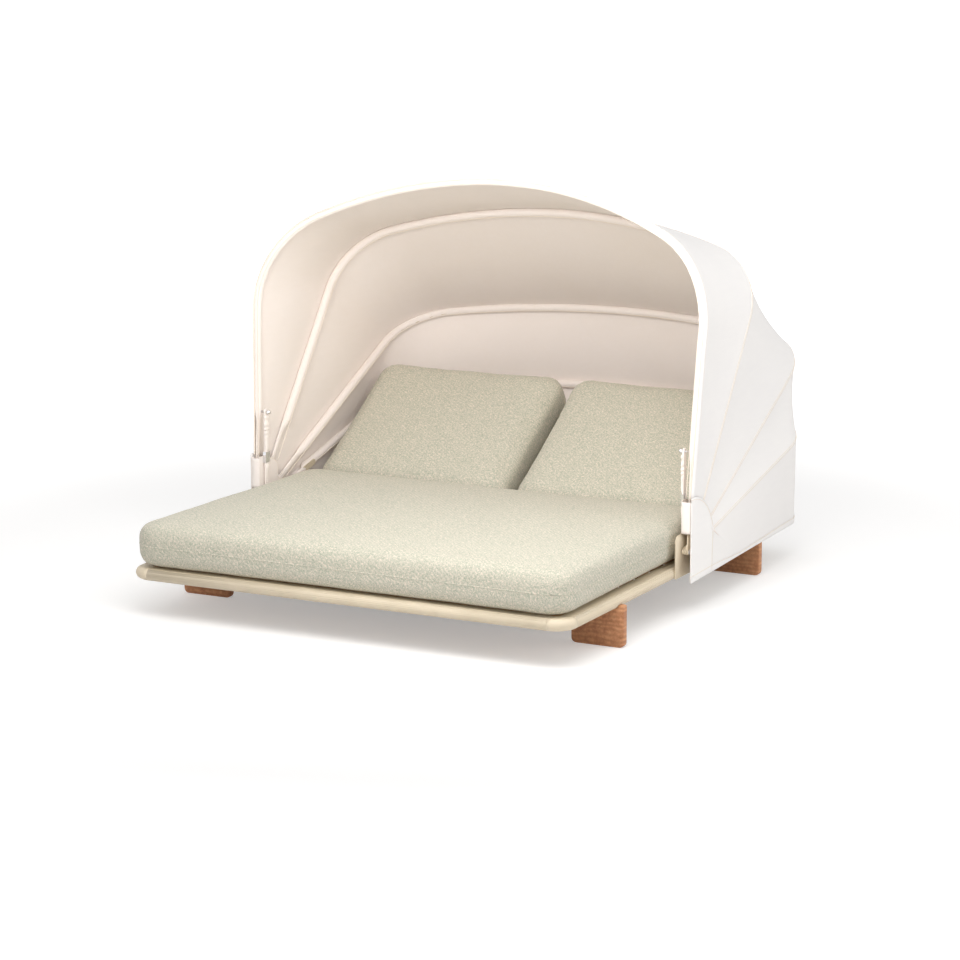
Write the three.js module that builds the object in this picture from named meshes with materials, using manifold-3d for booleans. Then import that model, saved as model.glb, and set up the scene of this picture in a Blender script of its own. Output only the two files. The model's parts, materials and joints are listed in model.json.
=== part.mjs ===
import * as THREE from "three";
import { mergeVertices } from "three/addons/utils/BufferGeometryUtils.js";
import Module from "manifold-3d";

// Outdoor daybed with a folding canopy: a slatted aluminium platform on four timber feet, one seat
// mattress, two reclining backrests and a fabric hood on four bows.
// Millimetres, +Z up. While it is drawn, y = 0 is the front edge of the platform, +Y runs to the head end
// and +X is the right-hand side seen from the front. The finished group is centred on its footprint.

const wasm = await Module();
wasm.setup();

// Clearances and cuts
const touchGap = 0.3;
const cutOverrun = 5;
const joinDepth = 1;

// How many flat facets or steps the round shapes have
const rodSides = 16;
const boltSides = 12;
const nutSides = 6;
const knobMeridians = 14;
const knobParallels = 8;
const tubeSegments = 4;
const plateSegments = 6;
const railSegments = 5;
const footSegments = 4;
const footEdgeSegments = 2;
const bowSteps = 56;
const bowLengthSamples = 600;
const cushionCornerSteps = 3;
const mattressSideSteps = [10, 8];
const backrestSideSteps = [6, 6];

// Platform frame
const platformWidth = 1700;
const platformDepth = 2000;
const platformCornerRadius = 80;
const railHeight = 41;
const railWidth = 60;
const railUnderside = 133;
const beamWidth = 60;
const beamHeight = 36;

// Seat deck: cross slats on lengthwise battens
const deckHeight = 25;
const deckSlatThickness = 12;
const deckSlatGap = 36;
const deckSlatCount = 10;
const deckSideClearance = 10;
const deckBattenWidth = 40;
const deckBattenSpacing = 500;

// Timber feet
const footLength = 195;
const footThickness = 28;
const footFrontY = 389;
const footOverhang = 20;
const footLipHeight = 13;
const footCornerRadius = 18;
const footEdgeRadius = 4;
const footLipRadius = 6;

// Steel angles that fix the feet
const bracketSteel = 4;
const bracketPlateLength = 130;
const bracketPlateHeight = 92;
const bracketFlangeLength = 34;
const bracketFlangeDepth = 40;
const bracketBoltRadius = 8;
const bracketBoltHeight = 6;
const bracketBoltSpacing = 80;
const bracketBoltDrop = 62;

// Seat mattress
const mattressSideOverhang = 1;
const mattressFrontOverhang = 5;
const mattressThickness = 161;
const mattressCrown = 9;
const mattressCornerRadius = 92;
const mattressEdgeRadius = 50;
const mattressDrawnIn = 6;
const mattressRearNarrowing = 13;
const mattressBackrestGap = 5;

// Backrests
const reclineAngle = 33;
const backrestHingeSetback = 682.2;
const ladderBarHeight = 25;
const ladderBarWidth = 24;
const ladderInnerX = 20;
const ladderRailClearance = 10;
const ladderLength = 612;
const ladderRungCount = 5;
const ladderFirstRung = 60;
const cushionInnerX = 4;
const cushionSideInset = 14;
const cushionThickness = 160;
const cushionSetback = 27;
const cushionLength = 650;
const cushionCrown = 11;
const cushionCornerRadius = 84;
const cushionEdgeRadius = 52;
const cushionDrawnIn = 5;

// Backrest hinges
const hingeRodRadius = 5;
const hingeRodEnd = 5;
const hingeLugRadius = 12;
const hingeLugThickness = 6;
const hingeSideGap = 0.5;

// Backrest props and their racks
const propRung = 2;
const propPivotBelow = 24;
const propLength = 230;
const propWidth = 16;
const propThickness = 14;
const propX = 400;
const propPinRadius = 4;
const propEarThickness = 4;
const propEarRadius = 9;
const propSideGap = 0.5;
const rackThickness = 11;
const rackWidth = 34;
const rackEndThickness = 4;
const rackEndHeight = 30;
const rackTravelDrop = 11;
const rackStopLength = 22;

// Canopy pivot
const pivotSetback = 1095;
const pivotZ = 228;
const pivotBoltRadius = 5;
const pivotBoltHeadRadius = 9;
const pivotBoltHeadHeight = 4;
const pivotNutHeight = 3.5;
const pivotPlateThickness = 4;
const pivotPlateFrontReach = 55;
const pivotPlateRearReach = 119;
const pivotPlateTop = 290;
const pivotPlateFoot = 138;
const pivotPlateRadius = 24;

// Canopy bows
const bowTubeRadius = 13.5;
const bowTabThickness = 4;
const bowTabPitch = 6;
const bowTabWidth = 22;
const bowTabReach = 400;
const bowTubeStart = 345;
const bowPlateGap = 0.7;
const bowSideGap = 18;
const bowShoulderReach = 680;

// Each bow, from the front one back. Tilt is its lean to the rear, in degrees, reach its height above the
// pivot, lean what its legs lean outwards (or inwards), in degrees, and sweep what its crown bends to
// the rear. The lifts say how far from its middle line the cloth's seams lie, before it and behind it.
const bows = [
  { tilt: 4, reach: 1237, lean: 2.02, cornerRadius: 350, crownRadius: 1645, sweep: 185, lifts: [0, 16.2] },
  { tilt: 35, reach: 1298, lean: -0.34, cornerRadius: 290, crownRadius: 2050, sweep: 0, lifts: [16, 15.6] },
  { tilt: 63, reach: 1395, lean: -0.59, cornerRadius: 258, crownRadius: 2600, sweep: 0, lifts: [15, 16.2] },
  { tilt: 76, reach: 1325, lean: 1.01, cornerRadius: 255, crownRadius: 1700, sweep: 0, lifts: [15.6, 16.2] },
];

// Canopy cloth
const clothThickness = 2;
const clothSeamAngle = 20;
const clothPatchGap = 8;
const clothPatchRadius = 187;
const clothSag = 20;
const clothSideGap = 42;
const clothFullWidth = 500;
const clothRows = 4;
const legColumns = 3;
const cornerColumns = 9;
const crownColumns = 7;
const middleShare = 0.5;
const hemFrontReach = 13;
const hemFrontZ = 118;
const hemRearZ = 133;
const hemRearGap = 10;
const hemRearCornerRadius = 96;
const hemRearSideGap = 17;

// Stays between the front bow and the pivot plates
const stayStudReach = 350;
const stayStudRadius = 4;
const stayKnobRadius = 9;
const stayInset = 3;
const stayThickness = 6;
const stayWidth = 22;
const stayEndReach = 25;
const stayEndZ = 262;
const staySnapRadius = 8;
const staySnapThickness = 3;
const stayBuckleDrop = 150;
const stayBuckleHeight = 40;
const stayBuckleWall = 3;

// Sizes that follow
const halfWidth = platformWidth / 2;
const mattressHalfWidth = halfWidth + mattressSideOverhang;
const cushionOuterX = halfWidth - cushionSideInset;
const bowSideX = halfWidth + bowSideGap;
const clothSideX = halfWidth + clothSideGap;
const hemRearSideX = halfWidth + hemRearSideGap;
const stayX = halfWidth - stayInset;
const backrestHingeY = platformDepth - backrestHingeSetback;
const pivotY = platformDepth - pivotSetback;
const pivotPlateFrontY = pivotY - pivotPlateFrontReach;
const pivotPlateRearY = pivotY + pivotPlateRearReach;
const hemFrontY = pivotY - hemFrontReach;
const stayEndY = pivotY + stayEndReach;
const ladderPitch = (ladderLength - ladderBarWidth / 2 - ladderFirstRung) / (ladderRungCount - 1);
const propPivotAlong = ladderFirstRung + propRung * ladderPitch;
const railTop = railUnderside + railHeight;
const railMiddle = railUnderside + railHeight / 2;
const railInnerX = halfWidth - railWidth;
const deckBottom = railTop - deckHeight;
const beamTop = deckBottom - touchGap;
const beamBottom = beamTop - beamHeight;
const footRearY = platformDepth - footFrontY;
const hingeZ = beamTop + touchGap + ladderBarHeight / 2;
const recline = THREE.MathUtils.degToRad(reclineAngle);
const cushionBack = ladderBarHeight / 2 + touchGap;
const cushionMiddle = cushionBack + cushionThickness / 2;
const cushionEndY = backrestHingeY + cushionSetback * Math.cos(recline) - cushionMiddle * Math.sin(recline);
const mattressRearY = cushionEndY - cushionThickness / 2 - mattressBackrestGap;

const SIDES = [
  { name: "right", sign: 1 },
  { name: "left", sign: -1 },
];

const powderCoat = { color: 0xe9dfc9, roughness: 0.5, metalness: 0.1 };
const teak = { color: 0xa8673f, roughness: 0.65, metalness: 0 };
const steel = { color: 0xb8babd, roughness: 0.35, metalness: 0.9 };
const chrome = { color: 0xd6d9dc, roughness: 0.12, metalness: 1 };
const greenWeave = { color: 0xd3cfb6, roughness: 0.9, metalness: 0 };
const canopyCloth = { color: 0xf4f0ea, roughness: 0.85, metalness: 0 };
const webbing = { color: 0xeee4d9, roughness: 0.85, metalness: 0 };
const slatWood = { color: 0xc79a6b, roughness: 0.7, metalness: 0 };

// Solids and meshes

function toSolid(geometry) {
  const bare = geometry.index ? geometry.toNonIndexed() : geometry.clone();
  bare.deleteAttribute("normal");
  bare.deleteAttribute("uv");
  const merged = mergeVertices(bare, 1e-4);
  return new wasm.Manifold(
    new wasm.Mesh({
      numProp: 3,
      vertProperties: merged.attributes.position.array,
      triVerts: new Uint32Array(merged.index.array),
    }),
  );
}

function toGeometry(solid) {
  const cut = solid.getMesh();
  const positions = new Float32Array(cut.numVert * 3);
  for (let i = 0; i < cut.numVert; i++) {
    positions.set(cut.vertProperties.subarray(i * cut.numProp, i * cut.numProp + 3), i * 3);
  }
  const geometry = new THREE.BufferGeometry();
  geometry.setAttribute("position", new THREE.BufferAttribute(positions, 3));
  geometry.setIndex(new THREE.BufferAttribute(new Uint32Array(cut.triVerts), 1));
  return geometry;
}

function joined(geometries) {
  return geometries.map(toSolid).reduce((sum, next) => sum.add(next));
}

function cut(solid, geometries) {
  return geometries.map(toSolid).reduce((rest, next) => rest.subtract(next), solid);
}

function mesh(name, geometry, finish) {
  const shape = geometry.isBufferGeometry ? geometry : toGeometry(geometry);
  shape.computeVertexNormals();
  const made = new THREE.Mesh(shape, new THREE.MeshStandardMaterial(finish));
  made.name = name;
  return made;
}

// A box between two corners.
function block(x0, x1, y0, y1, z0, z1) {
  const box = new THREE.BoxGeometry(Math.abs(x1 - x0), y1 - y0, z1 - z0);
  return box.translate((x0 + x1) / 2, (y0 + y1) / 2, (z0 + z1) / 2);
}

// A cylinder along X between two places.
function rodAlongX(radius, x0, x1, y, z, sides = rodSides) {
  const rod = new THREE.CylinderGeometry(radius, radius, Math.abs(x1 - x0), sides);
  return rod.rotateZ(Math.PI / 2).translate((x0 + x1) / 2, y, z);
}

// A plate drawn in the Y-Z plane and given a thickness along X. A shape's x is y, and its y is z.
function plateAcrossX(shape, x0, x1) {
  const plate = new THREE.ExtrudeGeometry(shape, {
    depth: Math.abs(x1 - x0),
    bevelEnabled: false,
    curveSegments: plateSegments,
  });
  const turn = new THREE.Matrix4().makeBasis(
    new THREE.Vector3(0, 1, 0),
    new THREE.Vector3(0, 0, 1),
    new THREE.Vector3(1, 0, 0),
  );
  return plate.applyMatrix4(turn).translate(Math.min(x0, x1), 0, 0);
}

// A bar with round ends between two points of a plane.
function slotShape(ax, ay, bx, by, radius) {
  const along = Math.atan2(by - ay, bx - ax);
  const shape = new THREE.Shape();
  shape.absarc(bx, by, radius, along - Math.PI / 2, along + Math.PI / 2, false);
  shape.absarc(ax, ay, radius, along + Math.PI / 2, along + (3 * Math.PI) / 2, false);
  return shape;
}

// A closed skin over rings of points with the same count, shut by a point at each end.
function skinOverRings(rings, firstPole, lastPole) {
  const count = rings[0].length;
  const points = rings.flat().concat([firstPole, lastPole]);
  const faces = [];
  for (let r = 0; r + 1 < rings.length; r++) {
    for (let i = 0; i < count; i++) {
      const j = (i + 1) % count;
      const a = r * count + i;
      const b = r * count + j;
      faces.push(a, b, b + count, a, b + count, a + count);
    }
  }
  const first = rings.length * count;
  const top = (rings.length - 1) * count;
  for (let i = 0; i < count; i++) {
    const j = (i + 1) % count;
    faces.push(first, j, i, first + 1, top + i, top + j);
  }
  const geometry = new THREE.BufferGeometry().setFromPoints(points);
  geometry.setIndex(faces);
  return geometry;
}

// Platform frame

// An arc in plan at one height, with its exact direction at each point.
class PlanArc extends THREE.Curve {
  constructor(centreX, centreY, z, radius, startAngle) {
    super();
    Object.assign(this, { centreX, centreY, z, radius, startAngle });
  }
  getPoint(t, target = new THREE.Vector3()) {
    const angle = this.startAngle + (t * Math.PI) / 2;
    return target.set(
      this.centreX + this.radius * Math.cos(angle),
      this.centreY + this.radius * Math.sin(angle),
      this.z,
    );
  }
  getTangent(t, target = new THREE.Vector3()) {
    const angle = this.startAngle + (t * Math.PI) / 2;
    return target.set(-Math.sin(angle), Math.cos(angle), 0);
  }
}

// The rail section: flat above, below and inside, and half round outside. Its x is downwards and its y
// is inwards from the outer edge.
function railSection() {
  const half = railHeight / 2;
  const shape = new THREE.Shape();
  shape.moveTo(-half, railWidth);
  shape.lineTo(-half, half);
  shape.absarc(0, half, half, Math.PI, 2 * Math.PI, false);
  shape.lineTo(half, railWidth);
  return shape;
}

function railAlong(path, steps) {
  return new THREE.ExtrudeGeometry(railSection(), { extrudePath: path, steps, curveSegments: railSegments });
}

function frameRails() {
  const x = halfWidth;
  const r = platformCornerRadius;
  const d = platformDepth;
  const runs = [
    ["rail_front", [-x + r, 0], [x - r, 0]],
    ["rail_right", [x, r], [x, d - r]],
    ["rail_rear", [x - r, d], [-x + r, d]],
    ["rail_left", [-x, d - r], [-x, r]],
  ];
  const corners = [
    ["corner_front_right", x - r, r, -Math.PI / 2],
    ["corner_rear_right", x - r, d - r, 0],
    ["corner_rear_left", -x + r, d - r, Math.PI / 2],
    ["corner_front_left", -x + r, r, Math.PI],
  ];
  const straight = runs.map(([name, from, to]) => {
    const path = new THREE.LineCurve3(
      new THREE.Vector3(...from, railMiddle),
      new THREE.Vector3(...to, railMiddle),
    );
    return mesh(name, railAlong(path, 1), powderCoat);
  });
  const round = corners.map(([name, cx, cy, start]) => {
    return mesh(name, railAlong(new PlanArc(cx, cy, railMiddle, r, start), 8), powderCoat);
  });
  return straight.concat(round);
}

// The beam under the backrest hinges carries two lugs for each backrest, each just inside a ladder bar.
function hingeBeam() {
  const inner = ladderInnerX + ladderBarWidth + hingeSideGap;
  const outer = railInnerX - ladderRailClearance - ladderBarWidth - hingeSideGap;
  const y0 = backrestHingeY - beamWidth / 2;
  const parts = [block(-railInnerX, railInnerX, y0, y0 + beamWidth, beamBottom, beamTop)];
  const bores = [];
  for (const { sign } of SIDES) {
    for (const [from, to] of [
      [inner, inner + hingeLugThickness],
      [outer - hingeLugThickness, outer],
    ]) {
      const lugFoot = beamTop - hingeLugThickness;
      const lug = slotShape(backrestHingeY, lugFoot, backrestHingeY, hingeZ, hingeLugRadius);
      parts.push(plateAcrossX(lug, sign * from, sign * to));
      bores.push([sign * from, sign * to]);
    }
  }
  const holes = bores.map(([a, b]) => {
    const low = Math.min(a, b) - cutOverrun;
    const high = Math.max(a, b) + cutOverrun;
    return rodAlongX(hingeRodRadius + touchGap, low, high, backrestHingeY, hingeZ);
  });
  return mesh("cross_beam_hinge", cut(joined(parts), holes), powderCoat);
}

function crossBeams() {
  const frontY = footFrontY + footThickness + bracketSteel + 2 * touchGap;
  const rearY = footRearY - footThickness - bracketSteel - 2 * touchGap - beamWidth;
  const plain = [
    ["cross_beam_front", frontY],
    ["cross_beam_rear", rearY],
  ].map(([name, y]) => {
    return mesh(name, block(-railInnerX, railInnerX, y, y + beamWidth, beamBottom, beamTop), powderCoat);
  });
  return plain.concat([hingeBeam()]);
}

function seatDeck() {
  const x = railInnerX - deckSideClearance;
  const y0 = railWidth + deckSideClearance;
  const y1 = backrestHingeY - ladderBarHeight;
  const battenTop = railTop - deckSlatThickness;
  const slatWidth = (y1 - y0 - (deckSlatCount - 1) * deckSlatGap) / deckSlatCount;
  const parts = [-deckBattenSpacing, 0, deckBattenSpacing].map((middle) => {
    const half = deckBattenWidth / 2;
    return block(middle - half, middle + half, y0, y1, deckBottom, battenTop);
  });
  for (let i = 0; i < deckSlatCount; i++) {
    const y = y0 + i * (slatWidth + deckSlatGap);
    parts.push(block(-x, x, y, y + slatWidth, battenTop, railTop));
  }
  return mesh("seat_deck", joined(parts), slatWood);
}

// Feet

// A board on edge under the side rail, whose outer end rises as a lip against the rail's round edge.
function footOutline() {
  const outer = halfWidth + footOverhang;
  const inner = outer - footLength;
  const top = railUnderside - touchGap;
  const lipTop = railUnderside + footLipHeight;
  const edge = railHeight / 2;
  const noseX = halfWidth - edge;
  const hug = edge + touchGap;
  const lipAngle = Math.asin((lipTop - railMiddle) / hug);
  const r = footCornerRadius;
  const shape = new THREE.Shape();
  shape.absarc(outer - r, r, r, -Math.PI / 2, 0, false);
  shape.absarc(outer - footLipRadius, lipTop - footLipRadius, footLipRadius, 0, Math.PI / 2, false);
  shape.absarc(noseX, railMiddle, hug, lipAngle, -Math.PI / 2, true);
  shape.lineTo(inner, top);
  shape.absarc(inner + r, r, r, Math.PI, (3 * Math.PI) / 2, false);
  return shape;
}

function foot(name, sign, y0) {
  const board = new THREE.ExtrudeGeometry(footOutline(), {
    depth: footThickness - 2 * footEdgeRadius,
    bevelThickness: footEdgeRadius,
    bevelSize: footEdgeRadius,
    bevelOffset: -footEdgeRadius,
    bevelSegments: footEdgeSegments,
    curveSegments: footSegments,
  });
  // Drawn in X-Z: the extrusion runs to the front, so the board is turned about X and moved to its place.
  board.rotateX(Math.PI / 2).translate(0, y0 + footThickness - footEdgeRadius, 0);
  if (sign < 0) board.rotateZ(Math.PI).translate(0, 2 * y0 + footThickness, 0);
  return mesh(name, board, teak);
}

// A steel angle: one leg is bolted to the foot, and the other lies under the side rail.
function footBracket(name, sign, footFace, away) {
  const outer = halfWidth - railHeight / 2;
  const y = (from, to) => [footFace + away * from, footFace + away * to].sort((a, b) => a - b);
  const x = (from, to) => [sign * from, sign * to].sort((a, b) => a - b);
  const top = railUnderside - touchGap;
  const plate = block(
    ...x(outer - bracketPlateLength, outer),
    ...y(touchGap, touchGap + bracketSteel),
    top - bracketPlateHeight,
    top,
  );
  const flange = block(
    ...x(outer - bracketFlangeLength, outer),
    ...y(touchGap, touchGap + bracketFlangeDepth),
    top - bracketSteel,
    top,
  );
  const middle = outer - bracketPlateLength / 2;
  const bolts = [-1, 1].map((side) => {
    const r = bracketBoltRadius;
    const head = new THREE.CylinderGeometry(r, r, bracketBoltHeight, nutSides);
    const out = touchGap + bracketSteel + bracketBoltHeight / 2 - bracketSteel / 2;
    return head.translate(
      sign * (middle + (side * bracketBoltSpacing) / 2),
      footFace + away * out,
      top - bracketBoltDrop,
    );
  });
  return mesh(name, joined([plate, flange, ...bolts]), steel);
}

function feet() {
  const made = [];
  for (const { name, sign } of SIDES) {
    made.push(foot("foot_front_" + name, sign, footFrontY));
    made.push(foot("foot_rear_" + name, sign, footRearY - footThickness));
    made.push(footBracket("foot_bracket_front_" + name, sign, footFrontY + footThickness, 1));
    made.push(footBracket("foot_bracket_rear_" + name, sign, footRearY, 1));
  }
  return made;
}

// Cushions

// A rounded rectangle about the middle of a cushion, walked round anticlockwise from its right-hand end,
// with its four corners as arcs and its sides in equal steps.
function cushionOutline(halfX, lowY, highY, radius, sideSteps, cornerSteps) {
  const corners = [
    [halfX - radius, highY - radius, 0],
    [-halfX + radius, highY - radius, 1],
    [-halfX + radius, lowY + radius, 2],
    [halfX - radius, lowY + radius, 3],
  ];
  const points = [];
  corners.forEach(([cx, cy, quarter], index) => {
    for (let i = 0; i <= cornerSteps; i++) {
      const angle = ((quarter + i / cornerSteps) * Math.PI) / 2;
      points.push([cx + radius * Math.cos(angle), cy + radius * Math.sin(angle)]);
    }
    const [nx, ny, nextQuarter] = corners[(index + 1) % 4];
    const from = points[points.length - 1];
    const start = (nextQuarter * Math.PI) / 2;
    const to = [nx + radius * Math.cos(start), ny + radius * Math.sin(start)];
    for (let i = 1; i < sideSteps[index % 2]; i++) {
      const share = i / sideSteps[index % 2];
      points.push([from[0] + share * (to[0] - from[0]), from[1] + share * (to[1] - from[1])]);
    }
  });
  return points;
}

// The places where a cushion's skin is cut across, from its underside to its crown: how far round the
// edge, from -1 below to 1 above, and then what share of the way to the middle.
const edgeShares = [-1, -0.8, -0.5, 0, 0.5, 0.8, 1];
const innerShares = [0.15, 0.4, 0.75];
const cushionMiddleShare = 0.96;
const mattressNarrowFromShare = 0.45;
const mattressNarrowToShare = 0.7;
const cushionEndFromShare = 0.7;

// A hollow that is 0 at both ends and 1 in the middle.
function hollowAt(share) {
  return 4 * share * (1 - share);
}

function cushionRings(size) {
  const { halfX, lowY, highY, bottom, top, radius, edge, lowEdge, crown, bend, steps } = size;
  const middleZ = (bottom + top) / 2;
  const halfZ = (top - bottom) / 2;
  const reach = Math.min(halfX, (highY - lowY) / 2);
  const ring = (inset, lowInset, z) => {
    const r = Math.max(radius - inset, radius * (1 - cushionMiddleShare));
    const low = lowY + lowInset;
    const outline = cushionOutline(halfX - inset, low, highY - inset, r, steps, cushionCornerSteps);
    return outline.map(([x, y]) => bend(new THREE.Vector3(x, y, z)));
  };
  const roundInset = (r, z) => {
    const over = Math.max(Math.abs(z - middleZ) - (halfZ - r), 0);
    return r - Math.sqrt(Math.max(r * r - over * over, 0));
  };
  const rings = [];
  const slack = reach - edge;
  for (const share of [...innerShares].reverse()) {
    const inset = edge + share * slack * cushionMiddleShare;
    rings.push(ring(inset, Math.max(inset, lowEdge), bottom));
  }
  for (const share of edgeShares) {
    const z = middleZ + halfZ * share;
    rings.push(ring(roundInset(edge, z), roundInset(lowEdge, z), z));
  }
  for (const share of innerShares) {
    const inset = edge + share * slack * cushionMiddleShare;
    const rise = crown * (1 - (1 - share) * (1 - share));
    rings.push(ring(inset, Math.max(inset, lowEdge), top + rise));
  }
  const middleY = (lowY + highY) / 2;
  const under = bend(new THREE.Vector3(0, middleY, bottom));
  const over = bend(new THREE.Vector3(0, middleY, top + crown));
  return skinOverRings(rings, under, over);
}

// The mattress is a little narrower between the canopy's legs, and its long sides pull in between the
// corners.
function mattressBend(point) {
  const length = mattressRearY + mattressFrontOverhang;
  const along = THREE.MathUtils.clamp((point.y + mattressFrontOverhang) / length, 0, 1);
  const waist = hollowAt(along);
  const rear = THREE.MathUtils.smoothstep(along, mattressNarrowFromShare, mattressNarrowToShare);
  const pull = mattressDrawnIn * waist * (1 - rear) + mattressRearNarrowing * rear;
  point.x *= 1 - pull / mattressHalfWidth;
  return point;
}

function seatMattress() {
  const skin = cushionRings({
    halfX: mattressHalfWidth,
    lowY: -mattressFrontOverhang,
    highY: mattressRearY,
    bottom: railTop + touchGap,
    top: railTop + touchGap + mattressThickness,
    radius: mattressCornerRadius,
    edge: mattressEdgeRadius,
    lowEdge: mattressEdgeRadius,
    crown: mattressCrown,
    bend: mattressBend,
    steps: mattressSideSteps,
  });
  return mesh("seat_mattress", skin, greenWeave);
}

// Backrests, each drawn flat about its hinge line: y along the backrest and z out of its face

function ladderOuterX() {
  return railInnerX - ladderRailClearance;
}

function propPivot() {
  return { y: propPivotAlong, z: -propPivotBelow };
}

function backrestLadder(name, sign) {
  const half = ladderBarHeight / 2;
  const rows = [];
  const holes = [];
  const bars = [
    [ladderInnerX, ladderInnerX + ladderBarWidth],
    [ladderOuterX() - ladderBarWidth, ladderOuterX()],
  ];
  for (const [from, to] of bars) {
    const bar = new THREE.Shape();
    bar.moveTo(ladderLength, -half);
    bar.lineTo(ladderLength, half);
    bar.lineTo(0, half);
    bar.absarc(0, 0, half, Math.PI / 2, (3 * Math.PI) / 2, false);
    rows.push(plateAcrossX(bar, sign * from, sign * to));
    const [low, high] = [sign * from, sign * to].sort((a, b) => a - b);
    holes.push(rodAlongX(hingeRodRadius + touchGap, low - cutOverrun, high + cutOverrun, 0, 0));
  }
  const [x0, x1] = [sign * bars[0][0], sign * bars[1][1]].sort((a, b) => a - b);
  for (let i = 0; i < ladderRungCount; i++) {
    const y = ladderFirstRung + i * ladderPitch;
    rows.push(block(x0, x1, y - ladderBarWidth / 2, y + ladderBarWidth / 2, -half, half));
  }
  const pivot = propPivot();
  const ear = slotShape(pivot.y, 0, pivot.y, pivot.z, propEarRadius);
  const earFrom = propWidth / 2 + propSideGap;
  for (const side of [-1, 1]) {
    const near = sign * propX + side * earFrom;
    rows.push(plateAcrossX(ear, near, near + side * propEarThickness));
  }
  const reach = earFrom + propEarThickness + cutOverrun;
  const middle = sign * propX;
  const r = propPinRadius + touchGap;
  holes.push(rodAlongX(r, middle - reach, middle + reach, pivot.y, pivot.z, boltSides));
  return mesh(name, cut(joined(rows), holes), powderCoat);
}

function backrestCushion(name, sign) {
  const middleX = (sign * (cushionInnerX + cushionOuterX)) / 2;
  const halfX = (cushionOuterX - cushionInnerX) / 2;
  const endY = cushionSetback - cushionThickness / 2;
  const highY = cushionSetback + cushionLength;
  const bend = (point) => {
    const across = THREE.MathUtils.clamp(point.x / halfX, -1, 1);
    const along = THREE.MathUtils.clamp((point.y - endY) / (highY - endY), 0, 1);
    const waist = hollowAt(along);
    const x = point.x * (1 - (cushionDrawnIn * waist) / halfX);
    const endPull = (1 - across * across) * THREE.MathUtils.smoothstep(along, cushionEndFromShare, 1);
    const y = point.y - cushionDrawnIn * endPull;
    return point.set(x + middleX, y, point.z);
  };
  const skin = cushionRings({
    halfX,
    lowY: endY,
    highY,
    bottom: cushionBack,
    top: cushionBack + cushionThickness,
    radius: cushionCornerRadius,
    edge: cushionEdgeRadius,
    lowEdge: cushionThickness / 2,
    crown: cushionCrown,
    bend,
    steps: backrestSideSteps,
  });
  return mesh(name, skin, greenWeave);
}

// The prop hangs on its pin between the ladder's ears and stands on the rack.
function prop(name) {
  const bar = plateAcrossX(
    slotShape(0, 0, 0, -propLength, propThickness / 2),
    -propWidth / 2,
    propWidth / 2,
  );
  const hole = rodAlongX(propPinRadius + touchGap, -propWidth, propWidth, 0, 0, boltSides);
  return mesh(name, cut(toSolid(bar), [hole]), steel);
}

function propPin(name, sign) {
  const reach = propWidth / 2 + propSideGap + propEarThickness;
  const pivot = propPivot();
  const middle = sign * propX;
  const pin = rodAlongX(propPinRadius, middle - reach, middle + reach, pivot.y, pivot.z, boltSides);
  return mesh(name, pin, steel);
}

// Where the prop's pin and foot stand when the backrest is raised
const propPinPlace = {
  y: backrestHingeY + propPivotAlong * Math.cos(recline) + propPivotBelow * Math.sin(recline),
  z: hingeZ + propPivotAlong * Math.sin(recline) - propPivotBelow * Math.cos(recline),
};
const rackStopTop = beamBottom + rackTravelDrop;
const propFootZ = rackStopTop + touchGap + propThickness / 2;
const propLean = Math.acos((propPinPlace.z - propFootZ) / propLength);
const propFootY = propPinPlace.y + propLength * Math.sin(propLean);

function backrests() {
  return SIDES.map(({ name, sign }) => {
    const group = new THREE.Group();
    group.position.set(0, backrestHingeY, hingeZ);
    group.rotation.x = recline;
    group.add(
      backrestLadder("backrest_frame_" + name, sign),
      backrestCushion("backrest_cushion_" + name, sign),
      propPin("prop_pin_" + name, sign),
    );
    return group;
  });
}

function props() {
  return SIDES.map(({ name, sign }) => {
    const stay = prop("prop_" + name);
    stay.position.set(sign * propX, propPinPlace.y, propPinPlace.z);
    stay.rotation.x = propLean;
    return stay;
  });
}

function hingeRods() {
  return SIDES.map(({ name, sign }) => {
    const from = sign * (ladderInnerX - hingeRodEnd);
    const to = sign * (ladderOuterX() + hingeRodEnd);
    return mesh("hinge_rod_" + name, rodAlongX(hingeRodRadius, from, to, backrestHingeY, hingeZ), steel);
  });
}

// A rack from the rear beam to the rear rail, with a stop under the raised prop.
function propRacks() {
  const y0 = footRearY - footThickness - bracketSteel - touchGap;
  const y1 = platformDepth - railWidth - touchGap;
  const top = beamBottom;
  return SIDES.map(({ name, sign }) => {
    const x0 = sign * propX - rackWidth / 2;
    const x1 = x0 + rackWidth;
    const stopFrom = propFootY - rackStopLength / 2;
    const rack = joined([
      block(x0, x1, y0, y1, top - rackThickness, top),
      block(x0, x1, y0, y0 + rackEndThickness, top - rackThickness, top + rackEndHeight),
      block(x0, x1, y1 - rackEndThickness, y1, top - rackThickness, top + rackEndHeight),
      block(x0, x1, stopFrom, stopFrom + rackStopLength, top - rackThickness, rackStopTop),
    ]);
    return mesh("prop_rack_" + name, rack, steel);
  });
}

// Canopy bows

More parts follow.
